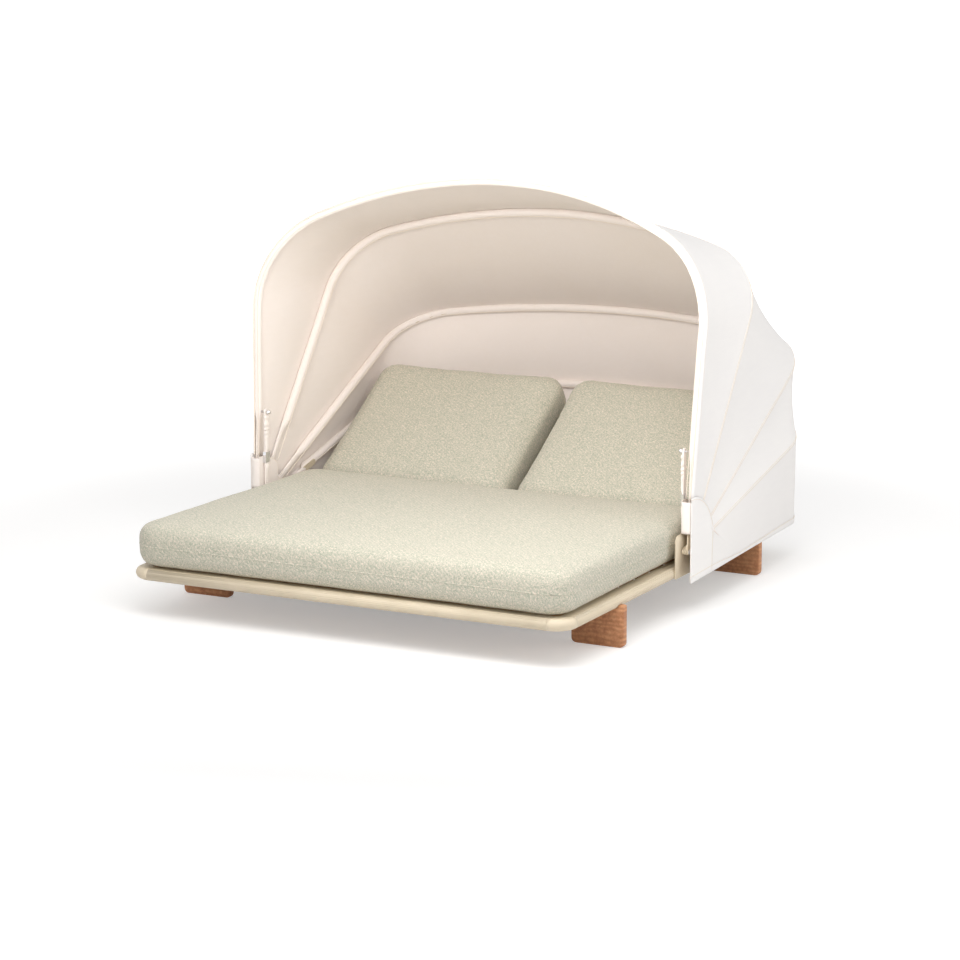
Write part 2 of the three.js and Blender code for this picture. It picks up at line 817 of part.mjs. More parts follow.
// The right half of a bow's middle line, in its own plane: x sideways and z away from the pivot. The leg
// leans out, and a corner arc joins it to the crown arc.
function bowHalf(bow) {
  const lean = THREE.MathUtils.degToRad(bow.lean);
  const along = new THREE.Vector2(Math.sin(lean), Math.cos(lean));
  const inward = new THREE.Vector2(-Math.cos(lean), Math.sin(lean));
  const foot = new THREE.Vector2(bowSideX, 0);
  const crownCentre = new THREE.Vector2(0, bow.reach - bow.crownRadius);
  const apart = bow.crownRadius - bow.cornerRadius;
  const from = foot.clone().addScaledVector(inward, bow.cornerRadius).sub(crownCentre);
  const forward = from.dot(along);
  const legLength = -forward + Math.sqrt(forward * forward - from.lengthSq() + apart * apart);
  const legEnd = foot.clone().addScaledVector(along, legLength);
  const cornerCentre = legEnd.addScaledVector(inward, bow.cornerRadius);
  const crownEnd = Math.atan2(cornerCentre.y - crownCentre.y, cornerCentre.x);
  return { foot, along, legLength, cornerCentre, crownCentre, crownEnd, lean };
}

// A bow's middle line from its right-hand foot to its left-hand one, by length along it.
class BowLine extends THREE.Curve {
  constructor(bow, start) {
    super();
    this.bow = bow;
    this.half = bowHalf(bow);
    this.start = start;
    this.leg = this.half.legLength - start;
    this.cornerAngle = this.half.crownEnd + this.half.lean;
    this.corner = bow.cornerRadius * this.cornerAngle;
    this.crown = bow.crownRadius * (Math.PI / 2 - this.half.crownEnd);
    this.arcLengthDivisions = bowLengthSamples;
  }
  // A point of the right half at a length from its lower end, with the outward direction there.
  planar(length) {
    const { foot, along, cornerCentre, crownCentre, crownEnd, lean } = this.half;
    if (length <= this.leg) {
      const point = foot.clone().addScaledVector(along, this.start + length);
      return { point, out: new THREE.Vector2(Math.cos(lean), -Math.sin(lean)) };
    }
    const past = length - this.leg;
    const onCorner = past <= this.corner;
    const radius = onCorner ? this.bow.cornerRadius : this.bow.crownRadius;
    const centre = onCorner ? cornerCentre : crownCentre;
    const angle = onCorner ? past / radius - lean : crownEnd + (past - this.corner) / radius;
    const out = new THREE.Vector2(Math.cos(angle), Math.sin(angle));
    return { point: centre.clone().addScaledVector(out, radius), out };
  }
  // The crown's bend to the rear grows with the square of its height above the shoulder.
  sweepAt(reach) {
    const share = Math.max(reach - bowShoulderReach, 0) / (this.bow.reach - bowShoulderReach);
    return this.bow.sweep * share * share;
  }
  place(t) {
    const half = this.leg + this.corner + this.crown;
    const mirrored = t > middleShare;
    const { point, out } = this.planar(2 * half * (mirrored ? 1 - t : t));
    const side = mirrored ? -1 : 1;
    return {
      point: new THREE.Vector3(side * point.x, this.sweepAt(point.y), point.y),
      out: new THREE.Vector3(side * out.x, 0, out.y),
    };
  }
  getPoint(t, target = new THREE.Vector3()) {
    return target.copy(this.place(t).point);
  }
}

// A flat tab on the pivot bolt. The front bow's tab is the outermost.
function bowTab(index, sign) {
  const middle = bowSideX + ((bows.length - 1) / 2 - index) * bowTabPitch + bowPlateGap;
  const from = sign * (middle - bowTabThickness / 2);
  const to = sign * (middle + bowTabThickness / 2);
  return plateAcrossX(slotShape(0, 0, 0, bowTabReach, bowTabWidth / 2), from, to);
}

function bowSolid(index) {
  const bow = bows[index];
  const section = new THREE.Shape();
  section.absarc(0, 0, bowTubeRadius, 0, 2 * Math.PI, false);
  const tube = new THREE.ExtrudeGeometry(section, {
    extrudePath: new BowLine(bow, bowTubeStart),
    steps: bowSteps,
    curveSegments: tubeSegments,
  });
  const tabs = SIDES.map(({ sign }) => bowTab(index, sign));
  const holes = SIDES.map(({ sign }) => {
    const x = sign * bowSideX;
    const reach = bows.length * bowTabPitch;
    return rodAlongX(pivotBoltRadius + touchGap, x - reach, x + reach, 0, 0, boltSides);
  });
  return cut(joined([tube, ...tabs]), holes);
}

function bowTurn(index) {
  return -THREE.MathUtils.degToRad(bows[index].tilt);
}

function canopyBows() {
  return bows.map((bow, index) => {
    const made = mesh("canopy_bow_" + (index + 1), bowSolid(index), powderCoat);
    made.position.set(0, pivotY, pivotZ);
    made.rotation.x = bowTurn(index);
    return made;
  });
}

// Canopy pivot plates, bolts and stays

const plateInnerX = halfWidth + touchGap;
const plateOuterX = plateInnerX + pivotPlateThickness;

function pivotPlateShape() {
  const r = pivotPlateRadius;
  const shape = new THREE.Shape();
  shape.moveTo(pivotPlateFrontY, pivotPlateFoot);
  shape.lineTo(pivotPlateRearY, pivotPlateFoot);
  shape.absarc(pivotPlateRearY - r, stayEndZ, r, 0, Math.PI / 2, false);
  shape.lineTo(pivotY + r, pivotPlateTop);
  shape.absarc(pivotPlateFrontY + r, pivotPlateTop - r, r, Math.PI / 2, Math.PI, false);
  return shape;
}

function pivotPlate(name, sign) {
  const plate = plateAcrossX(pivotPlateShape(), sign * plateInnerX, sign * plateOuterX);
  const middle = (sign * (plateInnerX + plateOuterX)) / 2;
  const reach = pivotPlateThickness + cutOverrun;
  const r = pivotBoltRadius + touchGap;
  const hole = rodAlongX(r, middle - reach, middle + reach, pivotY, pivotZ, boltSides);
  return mesh(name, cut(toSolid(plate), [hole]), powderCoat);
}

// A bolt with its head outside the outermost tab and its nut inside the plate.
function pivotBolt(name, sign) {
  const stackOuter = bowSideX + ((bows.length - 1) / 2) * bowTabPitch + bowTabThickness / 2 + bowPlateGap;
  const headInner = stackOuter + touchGap;
  const headOuter = headInner + pivotBoltHeadHeight;
  const nutOuter = plateInnerX - touchGap;
  const nutInner = nutOuter - pivotNutHeight;
  const shankFrom = nutOuter - joinDepth;
  const shankTo = headInner + joinDepth;
  const bolt = joined([
    rodAlongX(pivotBoltRadius, sign * shankFrom, sign * shankTo, pivotY, pivotZ, boltSides),
    rodAlongX(pivotBoltHeadRadius, sign * headInner, sign * headOuter, pivotY, pivotZ, nutSides),
    rodAlongX(pivotBoltHeadRadius, sign * nutInner, sign * nutOuter, pivotY, pivotZ, nutSides),
  ]);
  return mesh(name, bolt, steel);
}

// The stud stands on the inner side of the front bow's leg, and its knob keeps the stay on.
function stayStud(name, sign) {
  const { point } = new BowLine(bows[0], 0).planar(stayStudReach);
  const legInner = point.x - bowTubeRadius - touchGap;
  const stayInner = stayX - stayThickness / 2;
  const knob = new THREE.SphereGeometry(stayKnobRadius, knobMeridians, knobParallels);
  knob.translate(sign * (stayInner - stayKnobRadius), 0, stayStudReach);
  const shank = rodAlongX(
    stayStudRadius,
    sign * (stayInner - stayKnobRadius),
    sign * legInner,
    0,
    stayStudReach,
    boltSides,
  );
  return mesh(name, joined([knob, shank]), chrome);
}

// Where the stud stands, and how the stay runs from it to the snap on the pivot plate
const frontTurn = bowTurn(0);
const studPlace = {
  y: pivotY - stayStudReach * Math.sin(frontTurn),
  z: pivotZ + stayStudReach * Math.cos(frontTurn),
};
const stayLength = Math.hypot(stayEndY - studPlace.y, studPlace.z - stayEndZ);
const stayLean = Math.atan2(stayEndY - studPlace.y, studPlace.z - stayEndZ);

function stay(name) {
  const half = stayThickness / 2;
  const band = plateAcrossX(slotShape(0, 0, 0, -stayLength, stayWidth / 2), -half, half);
  const eye = rodAlongX(stayStudRadius + touchGap, -stayThickness, stayThickness, 0, 0, boltSides);
  return mesh(name, cut(toSolid(band), [eye]), webbing);
}

// The cap of the snap at the stay's lower end, on its inner face
function staySnap(name, sign) {
  const face = -sign * (stayThickness / 2);
  return mesh(
    name,
    rodAlongX(staySnapRadius, face, face - sign * staySnapThickness, 0, -stayLength, boltSides),
    chrome,
  );
}

function stayBuckle(name) {
  const halfX = stayThickness / 2 + touchGap;
  const halfY = stayWidth / 2 + touchGap;
  const z0 = -stayBuckleDrop - stayBuckleHeight;
  const wall = stayBuckleWall;
  const ring = block(-halfX - wall, halfX + wall, -halfY - wall, halfY + wall, z0, -stayBuckleDrop);
  const slot = block(-halfX, halfX, -halfY, halfY, z0 - cutOverrun, -stayBuckleDrop + cutOverrun);
  return mesh(name, cut(toSolid(ring), [slot]), chrome);
}

function pivotHardware() {
  const made = [];
  for (const { name, sign } of SIDES) {
    made.push(pivotPlate("pivot_plate_" + name, sign));
    made.push(pivotBolt("pivot_bolt_" + name, sign));
    const stud = stayStud("stay_stud_" + name, sign);
    stud.position.set(0, pivotY, pivotZ);
    stud.rotation.x = frontTurn;
    made.push(stud);
    const group = new THREE.Group();
    group.position.set(sign * stayX, studPlace.y, studPlace.z);
    group.rotation.x = stayLean;
    group.add(
      stay("stay_" + name),
      stayBuckle("stay_buckle_" + name),
      staySnap("stay_snap_" + name, sign),
    );
    made.push(group);
  }
  return made;
}

// Canopy cloth

// The line along a bow's outer face where a panel ends, as points from the right-hand foot to the
// left-hand one. It lies a little to the rear of the bow or, with side -1, to its front.
function seamLine(index, side) {
  const line = new BowLine(bows[index], clothPatchRadius);
  const turn = new THREE.Matrix4().makeRotationX(bowTurn(index)).setPosition(0, pivotY, pivotZ);
  const angle = THREE.MathUtils.degToRad(clothSeamAngle);
  return clothSteps(line).map((t) => {
    const { point, out } = line.place(t);
    const [frontLift, rearLift] = bows[index].lifts;
    const lift = side < 0 ? frontLift : rearLift;
    point.addScaledVector(out, lift * Math.cos(angle));
    point.y += side * lift * Math.sin(angle);
    return point.applyMatrix4(turn);
  });
}

// Where the columns of a panel lie along a bow: so many in a leg, in a corner and in half the crown.
function clothSteps(line) {
  const half = line.leg + line.corner + line.crown;
  const right = [];
  for (const [count, from, length] of [
    [legColumns, 0, line.leg],
    [cornerColumns, line.leg, line.corner],
    [crownColumns, line.leg + line.corner, line.crown],
  ]) {
    for (let i = 0; i < count; i++) right.push((from + (i / count) * length) / (2 * half));
  }
  const left = right.map((share) => 1 - share).reverse();
  return right.concat([middleShare], left);
}

// A sheet of cloth between two lines of points, drawn tight with a shallow hollow between them.
function clothSheet(first, second, sag) {
  const columns = first.length;
  const rows = clothRows;
  const grid = [];
  for (let r = 0; r <= rows; r++) {
    const share = r / rows;
    grid.push(first.map((point, c) => point.clone().lerp(second[c], share)));
  }
  const hub = new THREE.Vector3(0, pivotY, pivotZ);
  const narrowest = first[0].distanceTo(second[0]);
  for (let r = 1; r < rows; r++) {
    const share = r / rows;
    grid[r].forEach((point, c) => {
      const width = first[c].distanceTo(second[c]) - narrowest;
      const depth = sag * hollowAt(share) * THREE.MathUtils.clamp(width / clothFullWidth, 0, 1);
      const inward = hub.clone().sub(point).normalize();
      point.addScaledVector(inward, depth);
    });
  }
  return thickened(grid, columns, rows);
}

// The grid as a closed sheet, half its thickness to each side of the grid.
function thickened(grid, columns, rows) {
  const at = (r, c) => grid[THREE.MathUtils.clamp(r, 0, rows)][THREE.MathUtils.clamp(c, 0, columns - 1)];
  const outer = [];
  const inner = [];
  for (let r = 0; r <= rows; r++) {
    for (let c = 0; c < columns; c++) {
      const across = at(r + 1, c).clone().sub(at(r - 1, c));
      const along = at(r, c + 1).clone().sub(at(r, c - 1));
      const normal = along.cross(across).normalize();
      outer.push(at(r, c).clone().addScaledVector(normal, clothThickness / 2));
      inner.push(at(r, c).clone().addScaledVector(normal, -clothThickness / 2));
    }
  }
  const faces = [];
  const under = outer.length;
  const quad = (a, b, c, d) => faces.push(a, b, c, a, c, d);
  const id = (r, c) => r * columns + c;
  for (let r = 0; r < rows; r++) {
    for (let c = 0; c + 1 < columns; c++) {
      quad(id(r, c), id(r, c + 1), id(r + 1, c + 1), id(r + 1, c));
      quad(under + id(r, c), under + id(r + 1, c), under + id(r + 1, c + 1), under + id(r, c + 1));
    }
  }
  for (let c = 0; c + 1 < columns; c++) {
    quad(id(0, c), under + id(0, c), under + id(0, c + 1), id(0, c + 1));
    quad(id(rows, c + 1), under + id(rows, c + 1), under + id(rows, c), id(rows, c));
  }
  for (let r = 0; r < rows; r++) {
    quad(id(r + 1, 0), under + id(r + 1, 0), under + id(r, 0), id(r, 0));
    const last = id(r, columns - 1);
    const next = id(r + 1, columns - 1);
    quad(last, under + last, under + next, next);
  }
  const geometry = new THREE.BufferGeometry().setFromPoints(outer.concat(inner));
  geometry.setIndex(faces);
  return geometry;
}

const panelNames = ["canopy_panel_front", "canopy_panel_upper", "canopy_panel_lower"];

function canopyPanels() {
  return panelNames.map((name, index) => {
    const sheet = clothSheet(seamLine(index, 1), seamLine(index + 1, -1), clothSag);
    return mesh(name, sheet, canopyCloth);
  });
}

// The back panel runs from the rear bow down to the hem round the platform. Beside each pivot it rises
// as a patch in front of the bows, with a quarter-round top.
function backPanel() {
  const seam = seamLine(bows.length - 1, 1);
  const patchSteps = bows.length - 1;
  const radius = clothPatchRadius - clothPatchGap;
  const patch = (side) => {
    const points = bows.slice(0, patchSteps).map(({ tilt }) => {
      const angle = THREE.MathUtils.degToRad(tilt);
      const y = pivotY + radius * Math.sin(angle);
      return new THREE.Vector3(side * clothSideX, y, pivotZ + radius * Math.cos(angle));
    });
    points[0].y = hemFrontY;
    return points;
  };
  const upper = patch(1).concat(seam, patch(-1).reverse());
  const lower = hemLine(upper, patchSteps);
  return mesh("canopy_panel_back", clothSheet(upper, lower, 0), canopyCloth);
}

// The hem below each point of the upper edge: straight along the side, round the rear corner and across
// the back.
function hemLine(upper, patchSteps) {
  const rearY = platformDepth + hemRearGap;
  const r = hemRearCornerRadius;
  const sideEnd = rearY - r;
  const count = upper.length;
  const middle = (count - 1) / 2;
  const cornerFirst = patchSteps + legColumns;
  const cornerLast = cornerFirst + cornerColumns;
  const rightHalf = [];
  for (let i = 0; i <= middle; i++) {
    if (i <= cornerFirst) {
      const share = i / cornerFirst;
      const x = THREE.MathUtils.lerp(clothSideX, hemRearSideX, share);
      rightHalf.push(
        new THREE.Vector3(
          x,
          THREE.MathUtils.lerp(hemFrontY, sideEnd, share),
          THREE.MathUtils.lerp(hemFrontZ, hemRearZ, share),
        ),
      );
    } else if (i <= cornerLast) {
      const angle = (((i - cornerFirst) / (cornerLast - cornerFirst)) * Math.PI) / 2;
      rightHalf.push(
        new THREE.Vector3(
          hemRearSideX - r + r * Math.cos(angle),
          sideEnd + r * Math.sin(angle),
          hemRearZ,
        ),
      );
    } else {
      const share = (i - cornerLast) / (middle - cornerLast);
      rightHalf.push(new THREE.Vector3((hemRearSideX - r) * (1 - share), rearY, hemRearZ));
    }
  }
  const leftHalf = rightHalf
    .slice(0, -1)
    .reverse()
    .map((point) => new THREE.Vector3(-point.x, point.y, point.z));
  return rightHalf.concat(leftHalf);
}

// The whole daybed, centred on its footprint

const daybed = new THREE.Group();
daybed.add(
  ...frameRails(),
  ...crossBeams(),
  seatDeck(),
  ...feet(),
  seatMattress(),
  ...hingeRods(),
  ...propRacks(),
  ...backrests(),
  ...props(),
  ...pivotHardware(),
  ...canopyBows(),
  ...canopyPanels(),
  backPanel(),
);
daybed.updateMatrixWorld(true);
const footprint = new THREE.Box3().setFromObject(daybed, true);
daybed.position.y = -(footprint.min.y + footprint.max.y) / 2;

export default daybed;
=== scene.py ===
import json
import math

import bmesh
import bpy
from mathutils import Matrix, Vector, noise
from mathutils.bvhtree import BVHTree


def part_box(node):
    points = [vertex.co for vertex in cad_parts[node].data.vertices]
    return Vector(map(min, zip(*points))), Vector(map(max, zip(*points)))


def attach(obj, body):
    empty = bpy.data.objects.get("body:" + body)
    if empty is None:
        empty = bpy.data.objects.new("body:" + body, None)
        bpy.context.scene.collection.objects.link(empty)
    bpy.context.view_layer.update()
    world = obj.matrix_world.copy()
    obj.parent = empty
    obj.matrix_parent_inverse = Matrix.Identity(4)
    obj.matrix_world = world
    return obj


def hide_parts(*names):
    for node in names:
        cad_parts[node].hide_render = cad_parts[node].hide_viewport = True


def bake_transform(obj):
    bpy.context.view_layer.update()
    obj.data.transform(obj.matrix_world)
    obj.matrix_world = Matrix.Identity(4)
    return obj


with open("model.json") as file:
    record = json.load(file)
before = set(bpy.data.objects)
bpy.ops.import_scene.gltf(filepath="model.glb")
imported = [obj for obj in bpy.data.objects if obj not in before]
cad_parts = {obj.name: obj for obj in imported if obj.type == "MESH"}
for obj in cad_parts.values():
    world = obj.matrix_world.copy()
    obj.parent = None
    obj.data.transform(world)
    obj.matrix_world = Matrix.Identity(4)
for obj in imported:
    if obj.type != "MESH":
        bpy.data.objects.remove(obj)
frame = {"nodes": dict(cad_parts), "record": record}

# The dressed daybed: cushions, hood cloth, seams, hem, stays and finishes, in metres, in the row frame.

NODES = frame["nodes"]
BODY_OF = {node: body for body, nodes in frame["record"]["behaviour"]["bodies"].items() for node in nodes}
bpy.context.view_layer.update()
SIDES = (("right", 1), ("left", -1))

# Places that follow the frame. The pivot is drawn 0.905 m behind the platform's front edge.
bolt_low, bolt_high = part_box("pivot_bolt_right")
PIVOT_Y = (bolt_low.y + bolt_high.y) / 2
PIVOT_Z = (bolt_low.z + bolt_high.z) / 2
FRONT_EDGE_Y = PIVOT_Y - 0.905

# Camera
CAMERA_PLACE = (4.857, FRONT_EDGE_Y - 8.336, 2.501)
CAMERA_AZIMUTH = math.radians(27.42)
CAMERA_ELEVATION = math.radians(11.37)
CAMERA_LENS = 111.1
CAMERA_SENSOR = 36.0

# Bows, front to rear: how far each leans back in degrees, its reach from the pivot and its curves
BOWS = (
    dict(tilt=4, reach=1.237, splay=0.024, corner=0.350, crown=1.645, sweep=0.185),
    dict(tilt=35, reach=1.298, splay=-0.004, corner=0.290, crown=2.050, sweep=0.0),
    dict(tilt=63, reach=1.395, splay=-0.007, corner=0.258, crown=2.600, sweep=0.0),
    dict(tilt=76, reach=1.325, splay=0.012, corner=0.255, crown=1.700, sweep=0.0),
)
BOW_BODIES = ("hood_bow_1", "hood_bow_2", "hood_bow_3", "hood_bow_4")
BOW_SIDE_X = 0.868
SHOULDER_REACH = 0.680
TANGENT_STEP = 0.0008

# Hood cloth
CLOTH_START = 0.187
CLOTH_RADIUS = 0.0163
CLOTH_THICKNESS = 0.0014
CLOTH_SAG = 0.022
FULL_WIDTH = 0.5
LEAST_WIDTH = 0.02
LEG_COLUMNS, CORNER_COLUMNS, CROWN_COLUMNS = 26, 44, 46
WRAP_ROWS, SPAN_ROWS = 5, 14
BACK_ROWS = WRAP_ROWS + SPAN_ROWS + 6
FRONT_WRAP = math.radians(-63)

# Sleeves: flat round the tabs near the pivot, round higher up, gathered inside the corners
BOW_STEPS = 420
SLEEVE_SIDES = 26
SLEEVE_STARTS = (0.070, 0.105, 0.120, 0.187)
SLEEVE_RADIUS = 0.0150
TAB_STACK_X, TAB_PITCH = 0.8687, 0.006
TAB_END, TAB_FADE = 0.30, 0.06
TAB_SLEEVE_LOW, TAB_SLEEVE_HIGH, TAB_SLEEVE_FADE = 0.0030, 0.0052, 0.04
TAB_SLEEVE_REAR = 0.0128
CREASE_HEIGHT, CREASE_PITCH = 0.0016, 0.42
SLACK_HEIGHT, SLACK_PITCH = 0.0006, 0.06
DEEPEST_CREASE = -0.0004

# Seam tapes
TAPE_HALF_ANGLE = math.radians(17)
TAPE_STITCH_ANGLE = TAPE_HALF_ANGLE * 0.86
TAPE_STEPS, TAPE_COLUMNS = 360, 6
TAPE_HEIGHT, TAPE_THICKNESS = 0.0009, 0.0012

# Skirt and hem
SKIRT_TOP_RADIUS = 0.179
SKIRT_FRONT_X = 0.892
SKIRT_COLUMNS = 24
SKIRT_FREE_REACH = 0.22
SKIRT_MIDDLE = Vector((0.0, PIVOT_Y + 0.5, 0.2))
HEM_FRONT_Y = FRONT_EDGE_Y + 0.892
HEM_FRONT_Z = 0.118
HEM_REAR_Y = FRONT_EDGE_Y + 2.010
HEM_REAR_Z = 0.133
HEM_CORNER = 0.096
HEM_SIDE_END_Y = HEM_REAR_Y - HEM_CORNER
HEM_SIDE_X = 0.867
HEM_HEIGHT = 0.027
HEM_OUTER, HEM_INNER = 0.0012, -CLOTH_THICKNESS - 0.0010
# The hem's section: how far outwards each point lies, and how high in shares of the hem's height
HEM_SECTION = (
    (HEM_OUTER, 1.0), (HEM_OUTER + 0.0008, 0.75), (HEM_OUTER + 0.0010, 0.4), (HEM_OUTER + 0.0006, 0.06),
    (0.0002, -0.05), (HEM_INNER - 0.0002, 0.02), (HEM_INNER - 0.0006, 0.4), (HEM_INNER, 1.0),
)
HEM_STITCH = (0.0022, 0.88)

# Pockets at the pivots: a patch outside, a lining inside and the cloth between them in front
PATCH = dict(x=0.8936, radius=0.193, rear=0.190, wall=0.0012)
LINING = dict(x=0.8562, radius=0.182, rear=0.118, wall=0.0010)
PATCH_LIFT = 0.0016
PATCH_FOOT = 0.004
PATCH_COLUMNS, PATCH_ROWS = 30, 26
PATCH_STITCH_INSET, PATCH_STITCH_LIFT, PATCH_MIDDLE_DROP = 0.007, 0.0004, 0.05
SKIRT_LEAST_X, OUTSIDE_X = 0.87, 1.2
POCKET_OUTER_X = 0.8895
POCKET_LOW, POCKET_HIGH = 0.066, 0.178
POCKET_BULGE = 0.005
POCKET_STEPS = 10
POCKET_WALL = 0.0010

# Cloth sleeves over the stays. Lengths are measured down the stay from its stud.
STAY_STEPS, STAY_SIDES = 220, 22
STAY_SLEEVE_BEGIN, STAY_SLEEVE_SPARE = 0.013, 0.024
PUCKER_END, PUCKER_FADE = 0.05, 0.10
BUCKLE_DOWN, BUCKLE_SPREAD = 0.170, 0.026
SMOOTH_DOWN, SMOOTH_FADE = 0.20, 0.05
STAY_HALF_WIDTH, STAY_HELD_WIDTH, PUCKER_WIDTH = 0.0125, 0.0112, 0.0030
STAY_HALF_DEPTH, STAY_HELD_DEPTH, STAY_OUTER_FACE = 0.0062, 0.0033, 0.0031
FOLD_HEIGHT, FOLD_PITCH, FOLD_DRIFT, FOLD_DRIFT_PITCH = 0.0022, 330, 1.4, 90
RIPPLE_HEIGHT, RIPPLE_PITCH = 0.0016, 60

# Cushions: the grain of the shell, how far it is drawn in and how far the filling may push it out
SEAT = dict(voxel=0.016, shrink=0.004, cap=0.007)
BACKREST = dict(voxel=0.0105, shrink=0.005, cap=0.012)
# How far past its CAD form each may reach, below and above, in x, y and z
SEAT_ROOM = ((0.001, 0.001), (0.004, 0.0), (0.0, 0.004))
BACKREST_ROOM = ((0.0015, 0.0015), None, None)
FILLING = dict(
    quality=5, mass=0.35, tension_stiffness=22, compression_stiffness=22, shear_stiffness=8,
    bending_stiffness=0.8, use_pressure=True, uniform_pressure_force=4.0,
)
FILLING_FRAMES = 20
UNEVENNESS, UNEVENNESS_PITCH = 0.0012, 6.0
WELT_STEPS = 620
WELT_RADIUS, WELT_DEPTH, WELT_DROP, WELT_CORNER = 0.0021, 0.0006, 0.004, 0.10

# Flat sizes and areas of the sheets
PANELS = (
    ("hood_panel_front", "canopy_panel_front", (3.6, 0.68), 1.52),
    ("hood_panel_upper", "canopy_panel_upper", (3.7, 0.68), 1.72),
    ("hood_panel_lower", "canopy_panel_lower", (3.7, 0.36), 0.85),
)

# Stage
WHITE = (1.0, 1.0, 1.0, 1.0)
FLOOR_SIZE = 200.0
FLOOR_LIFT_NEAR, FLOOR_LIFT_FAR = 0.34, 1.0
FLOOR_FADE_FROM, FLOOR_FADE_TO = 1.9, 5.0
WORLD_FILL = 0.67
LAMPS = (
    ("top_softbox", (-1.2, -0.8, 5.8), (0.0, 0.2, 0.3), (4.5, 4.5), 11.0),
    ("front_softbox", (2.6, -6.5, 1.9), (-0.3, 0.4, 0.8), (5.0, 3.0), 13.0),
    ("side_softbox", (6.0, 1.0, 2.6), (0.9, 0.4, 0.6), (3.5, 3.0), 50.0),
    ("hood_softbox", (0.7, -1.6, 1.8), (-0.1, 0.9, 0.65), (2.2, 1.2), 38.0),
)


# Finishes


def srgb(red, green, blue):
    """A colour given in 0 to 255 as the linear values that a shader takes."""
    def linear(value):
        share = value / 255
        return share / 12.92 if share <= 0.04045 else ((share + 0.055) / 1.055) ** 2.4

    return (linear(red), linear(green), linear(blue), 1.0)


def add_node(tree, kind, settings=None, **inputs):
    """A shader node. An input is named, or numbered as i0, and is a value or another node's output."""
    made = tree.nodes.new("ShaderNode" + kind)
    for key, value in (settings or {}).items():
        setattr(made, key, value)
    for key, value in inputs.items():
        numbered = key[0] == "i" and key[1:].isdigit()
        socket = made.inputs[int(key[1:]) if numbered else key.replace("_", " ")]
        if isinstance(value, bpy.types.NodeSocket):
            tree.links.new(value, socket)
        else:
            socket.default_value = value
    return made


def seen_straight(tree):
    """1 where the camera sees a thing straight, in a mirror or through glass, and 0 elsewhere."""
    rays = add_node(tree, "LightPath").outputs
    largest = {"operation": "MAXIMUM"}
    seen = add_node(tree, "Math", largest, i0=rays["Is Camera Ray"], i1=rays["Is Glossy Ray"])
    seen = add_node(tree, "Math", largest, i0=seen.outputs[0], i1=rays["Is Transmission Ray"])
    return seen.outputs[0]


class Finish:
    """A material under construction: its shader and the nodes that feed it."""

    def __init__(self, name, **sockets):
        self.material = bpy.data.materials.new(name)
        self.material.use_nodes = True
        self.tree = self.material.node_tree
        self.shader = self.tree.nodes["Principled BSDF"]
        self.coordinates = self.tree.nodes.new("ShaderNodeTexCoord").outputs
        for socket, value in sockets.items():
            self.shader.inputs[socket.replace("_", " ")].default_value = value

    def node(self, kind, settings=None, **inputs):
        return add_node(self.tree, kind, settings, **inputs)

    def stretched(self, scale):
        return self.node("Mapping", Vector=self.coordinates["Object"], Scale=scale).outputs["Vector"]

    def grain(self, scale, detail=2.0, vector=None, roughness=0.5):
        vector = vector or self.coordinates["Object"]
        made = self.node("TexNoise", Vector=vector, Scale=scale, Detail=detail, Roughness=roughness)
        return made.outputs["Fac"]

    def bands(self, scale, direction, distortion=0.0, vector=None, detail=1.0):
        vector = vector or self.coordinates["Object"]
        settings = {"wave_type": "BANDS", "bands_direction": direction}
        made = self.node(
            "TexWave", settings, Vector=vector, Scale=scale, Distortion=distortion, Detail=detail
        )
        return made.outputs["Fac"]

    def ramp(self, factor, *stops):
        made = self.node("ValToRGB", Fac=factor)
        elements = made.color_ramp.elements
        for index, (place, colour) in enumerate(stops):
            element = elements[index] if index < 2 else elements.new(place)
            element.position = place
            element.color = colour
        return made.outputs["Color"]

    def blend_colours(self, factor, first, second):
        made = self.node("Mix", {"data_type": "RGBA"}, i0=factor, i6=first, i7=second)
        return made.outputs[2]

    def sum(self, first, second, way="ADD"):
        return self.node("Math", {"operation": way}, i0=first, i1=second).outputs["Value"]

    def scaled(self, value, low, high):
        return self.node("MapRange", Value=value, To_Min=low, To_Max=high).outputs["Result"]

    def feed(self, name, socket):
        self.tree.links.new(socket, self.shader.inputs[name])

    def relief(self, height, distance, strength=1.0):
        made = self.node("Bump", Height=height, Distance=distance, Strength=strength)
        self.feed("Normal", made.outputs["Normal"])


def cushion_weave():
    """Heather weave of a grey-green and a warm yarn, with a slight twill and fuzz."""
    finish = Finish("cushion_weave", Roughness=0.92, Sheen_Weight=0.12, Sheen_Roughness=0.6)
    speckle = finish.grain(260, 3.0, roughness=0.7)
    clusters = finish.grain(140)
    twill = finish.bands(34, "DIAGONAL", 2.2)
    broad = finish.grain(5)
    yarns = finish.ramp(
        finish.sum(finish.scaled(speckle, 0.0, 0.72), finish.scaled(clusters, 0.0, 0.28)),
        (0.38, srgb(150, 160, 138)),
        (0.50, srgb(199, 193, 177)),
        (0.62, srgb(238, 223, 207)),
    )
    slubs = finish.blend_colours(finish.scaled(twill, 0.0, 0.35), yarns, srgb(177, 183, 162))
    toned = finish.blend_colours(finish.scaled(broad, 0.0, 0.25), slubs, srgb(204, 197, 181))
    finish.feed("Base Color", toned)
    height = finish.sum(finish.scaled(speckle, 0.0, 0.9), finish.scaled(twill, 0.0, 0.6))
    finish.relief(height, 0.0012, 0.75)
    return finish.material


